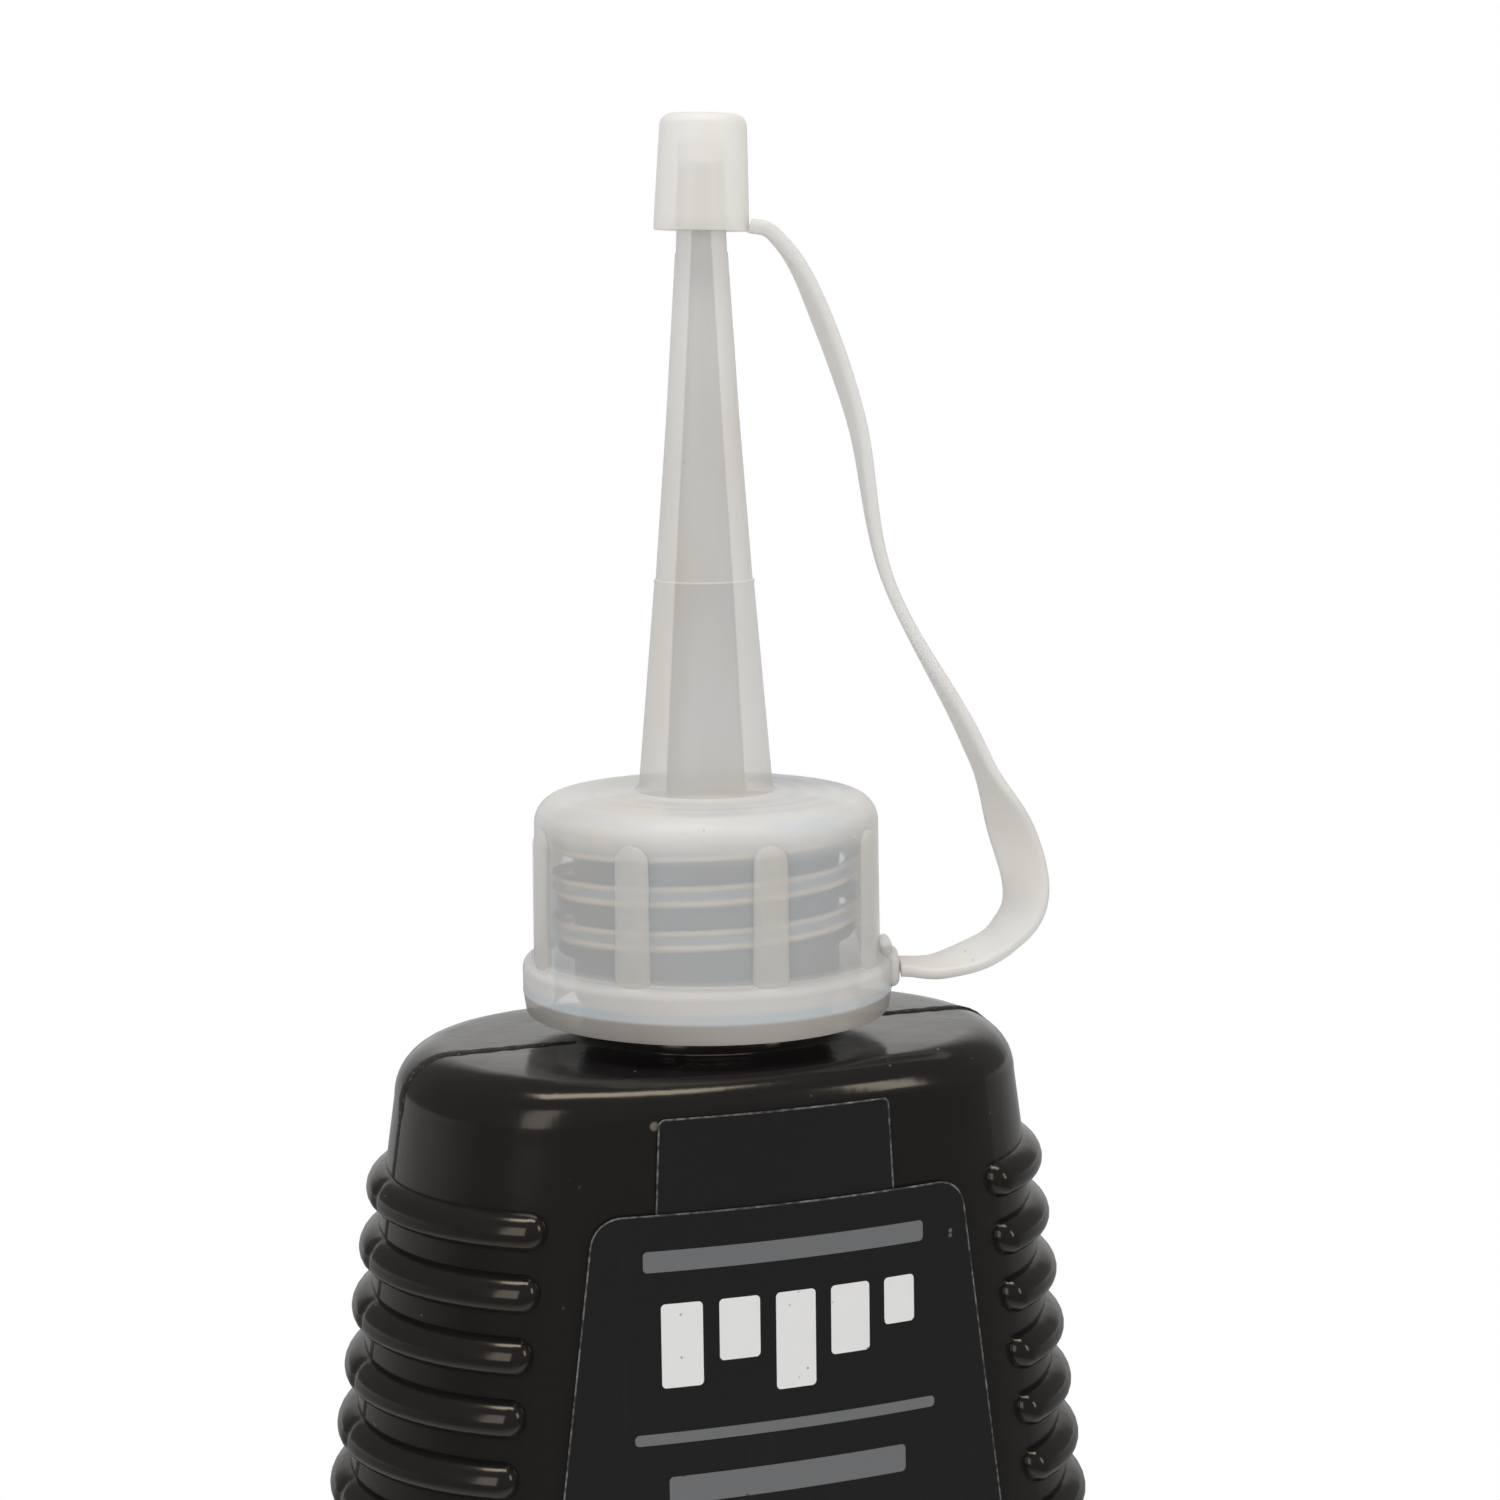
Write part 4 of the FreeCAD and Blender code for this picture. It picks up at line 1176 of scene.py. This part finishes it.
class PUFFER_OT_tip_cap(bpy.types.Operator):
    """Build the push-on cap over the nozzle's end"""

    bl_idname = "puffer.tip_cap"
    bl_label = "Tip cap"

    def execute(self, context):
        _, closure, colours = sizes_of(context)
        tip = closure.foot + closure.nozzle_tip
        low, high = tip - 4.8 * MM, tip + 3.45 * MM
        outer = mm_points([(3.27, 0), (3.37, 0.03), (3.42, 0.12), (3.41, 1.0)], height=low)
        outer += mm_points([(3.14, -1.1)], height=high)
        outer += arc_points((2.23 * MM, high - 0.92 * MM), 0.9 * MM, 4, 90, 8)
        outer += mm_points([(1.2, 0), (0, 0)], height=high)
        bore = [(2.3, 0.02), (1.98, 0.35), (1.90, 2.2), (1.80, 2.3), (1.76, 6.3), (1.3, 6.5)]
        bm = bmesh.new()
        inner = mm_points(bore + [(0, 6.5)], height=low)
        spin_outline(bm, outer[::-1] + inner, 72, closed=False)
        for face in bm.faces:
            flat, height = face_place(face)
            if flat < 2.35 * MM and low < height < low + 6.6 * MM:
                face.material_index = 1
        clear = tuple(1.17 * c for c in colours.milky)
        skin = milky_skin("cap_milky_skin", clear, 0.64)
        inside = milky_skin("cap_inner_skin", clear, 0.3)
        turn_mesh(bm, closure.turned)
        lean_axis = Vector((math.sin(VIEW_AZIMUTH), math.cos(VIEW_AZIMUTH), 0))
        bmesh.ops.rotate(
            bm, verts=bm.verts, cent=(0, 0, low), matrix=Matrix.Rotation(CAP_LEAN, 3, lean_axis)
        )
        cap = finish_piece("tip_cap_shell", bm, [skin, inside], "tip", 40)
        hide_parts("tip_cap")
        return {"FINISHED"}


class PUFFER_OT_inner(bpy.types.Operator):
    """Give the seal wad and the powder fill their finishes"""

    bl_idname = "puffer.inner"
    bl_label = "Inner pieces"

    def execute(self, context):
        for node, material in (("seal_washer", foam()), ("graphite_powder", powder())):
            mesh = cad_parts[node].data
            mesh.materials.clear()
            mesh.materials.append(material)
        return {"FINISHED"}


# soft lamps: name, place, size, power and colour
LAMPS = (
    ("top_softbox", (-0.05, -0.10, 0.62), (0.46, 0.13), 1.3, (1, 0.965, 0.92)),
    ("left_softbox", (-0.55, -0.45, 0.30), (0.25, 0.5), 0.8, (0.97, 0.98, 1)),
    ("right_softbox", (0.42, -0.50, 0.34), (0.12, 0.3), 0.55, (1, 0.98, 0.95)),
)
LAMP_TARGET = (0, 0, 0.09)


class PUFFER_OT_stage(bpy.types.Operator):
    """Set up floor, soft lamps, world and the camera"""

    bl_idname = "puffer.stage"
    bl_label = "Stage"

    def execute(self, context):
        scene = context.scene
        scene.view_settings.view_transform = "Standard"
        self.floor(scene)
        self.world(scene)
        for lamp in LAMPS:
            self.lamp(scene, *lamp)
        self.camera(scene)
        return {"FINISHED"}

    def floor(self, scene):
        """Pale floor that fades into the white backdrop away from the bottle."""
        bm = bmesh.new()
        bmesh.ops.create_grid(bm, x_segments=4, y_segments=4, size=3.0)
        mesh = bpy.data.meshes.new("floor")
        bm.to_mesh(mesh)
        bm.free()
        ground = bpy.data.objects.new("floor", mesh)
        scene.collection.objects.link(ground)
        finish = Finish("floor_pale", Roughness=0.8, Specular_IOR_Level=0.1)
        finish.paint(finish.noise(8), (0.84, 0.84, 0.84), (0.86, 0.86, 0.86))
        seen, mirrored = finish.seen_rays()
        x, y, _ = finish.axes()
        away = (x * x + y * y).math("SQRT").between(0.05, 0.13)
        glow = seen.math("MAXIMUM", y.between(-0.1, 0.5) * 0.35 + 0.15)
        white = finish.add("ShaderNodeEmission", {}, glow)
        factor = (away * seen.math("MAXIMUM", mirrored)).clamp()
        lit = Shade(finish, finish.shader.outputs[0])
        both = finish.add("ShaderNodeMixShader", {}, factor, lit, white)
        finish.tree.links.new(both.socket, finish.tree.nodes["Material Output"].inputs[0])
        mesh.materials.append(finish.material)

    def world(self, scene):
        """White backdrop; mirrored rays see a dim room, brighter behind the bottle."""
        world = bpy.data.worlds.new("studio")
        scene.world = world
        world.use_nodes = True
        world.node_tree.nodes.clear()
        sky = Wiring(world.node_tree)
        seen, mirrored = sky.seen_rays()
        behind = (math.sin(VIEW_AZIMUTH), math.cos(VIEW_AZIMUTH), 0)
        ray = sky.add("ShaderNodeTexCoord", {}, out="Generated")
        facing = sky.add(
            "ShaderNodeVectorMath", {"operation": "DOT_PRODUCT"}, ray, behind, out="Value"
        )
        dim = 0.18 + 0.67 * facing.between(0.80, 0.99)
        plain = sky.add("ShaderNodeBackground", {}, (1, 1, 1), 0.55)
        white = sky.add("ShaderNodeBackground", {}, seen.math("MAXIMUM", dim))
        both = sky.add("ShaderNodeMixShader", {}, seen.math("MAXIMUM", mirrored), plain, white)
        sky.add("ShaderNodeOutputWorld", {}, both)

    def lamp(self, scene, name, place, size, power, colour):
        data = bpy.data.lights.new(name, "AREA")
        data.shape = "RECTANGLE"
        data.size, data.size_y = size
        data.energy = power
        data.color = colour
        lamp = bpy.data.objects.new(name, data)
        lamp.location = place
        aim = Vector(LAMP_TARGET) - Vector(place)
        lamp.rotation_euler = aim.to_track_quat("-Z", "Y").to_euler()
        scene.collection.objects.link(lamp)

    def camera(self, scene):
        """Camera at the photograph's angle, worked out for a square picture."""
        focal, frame_px = 3237.0, 1500.0
        azimuth, pitch, roll = VIEW_AZIMUTH, math.radians(7.95), math.radians(0.47)
        distance, height, side = 234.3 * MM, 143.64 * MM, 44.5
        data = bpy.data.cameras.new("photo_camera")
        data.sensor_width = 36.0
        data.lens = focal * data.sensor_width / frame_px
        data.shift_x = side / frame_px
        data.clip_start = 0.01
        eye = bpy.data.objects.new("photo_camera", data)
        back = Vector((math.sin(azimuth), math.cos(azimuth), 0))
        eye.location = -distance * back + Vector((0, 0, height))
        aim = back * math.cos(pitch) - Vector((0, 0, math.sin(pitch)))
        look = aim.to_track_quat("-Z", "Y") @ Quaternion((0, 0, 1), -roll)
        eye.rotation_euler = look.to_euler()
        scene.collection.objects.link(eye)
        scene.camera = eye


class PUFFER_PT_panel(bpy.types.Panel):
    """Buttons for every piece of the puffer bottle"""

    bl_idname = "PUFFER_PT_panel"
    bl_label = "Puffer Bottle"
    bl_space_type = "VIEW_3D"
    bl_region_type = "UI"
    bl_category = "Puffer"

    def draw(self, context):
        for operator in OPERATORS:
            self.layout.operator(operator.bl_idname)
        for group in (context.scene.puffer_bottle, context.scene.puffer_closure):
            box = self.layout.box()
            for name in group.__annotations__:
                box.prop(group, name)


OPERATORS = (
    PUFFER_OT_bottle, PUFFER_OT_labels, PUFFER_OT_closure, PUFFER_OT_strap, PUFFER_OT_tip_cap,
    PUFFER_OT_inner, PUFFER_OT_stage,
)
GROUPS = (BottleSizes, ClosureSizes, FinishColours)


def register():
    for item in GROUPS + OPERATORS + (PUFFER_PT_panel,):
        bpy.utils.register_class(item)
    bpy.types.Scene.puffer_bottle = bpy.props.PointerProperty(type=BottleSizes)
    bpy.types.Scene.puffer_closure = bpy.props.PointerProperty(type=ClosureSizes)
    bpy.types.Scene.puffer_colours = bpy.props.PointerProperty(type=FinishColours)


def unregister():
    del bpy.types.Scene.puffer_bottle
    del bpy.types.Scene.puffer_closure
    del bpy.types.Scene.puffer_colours
    for item in reversed(GROUPS + OPERATORS + (PUFFER_PT_panel,)):
        bpy.utils.unregister_class(item)


def main():
    register()
    bpy.ops.puffer.bottle()
    bpy.ops.puffer.labels()
    bpy.ops.puffer.closure()
    bpy.ops.puffer.strap()
    bpy.ops.puffer.tip_cap()
    bpy.ops.puffer.inner()
    bpy.ops.puffer.stage()


if __name__ == "__main__":
    main()
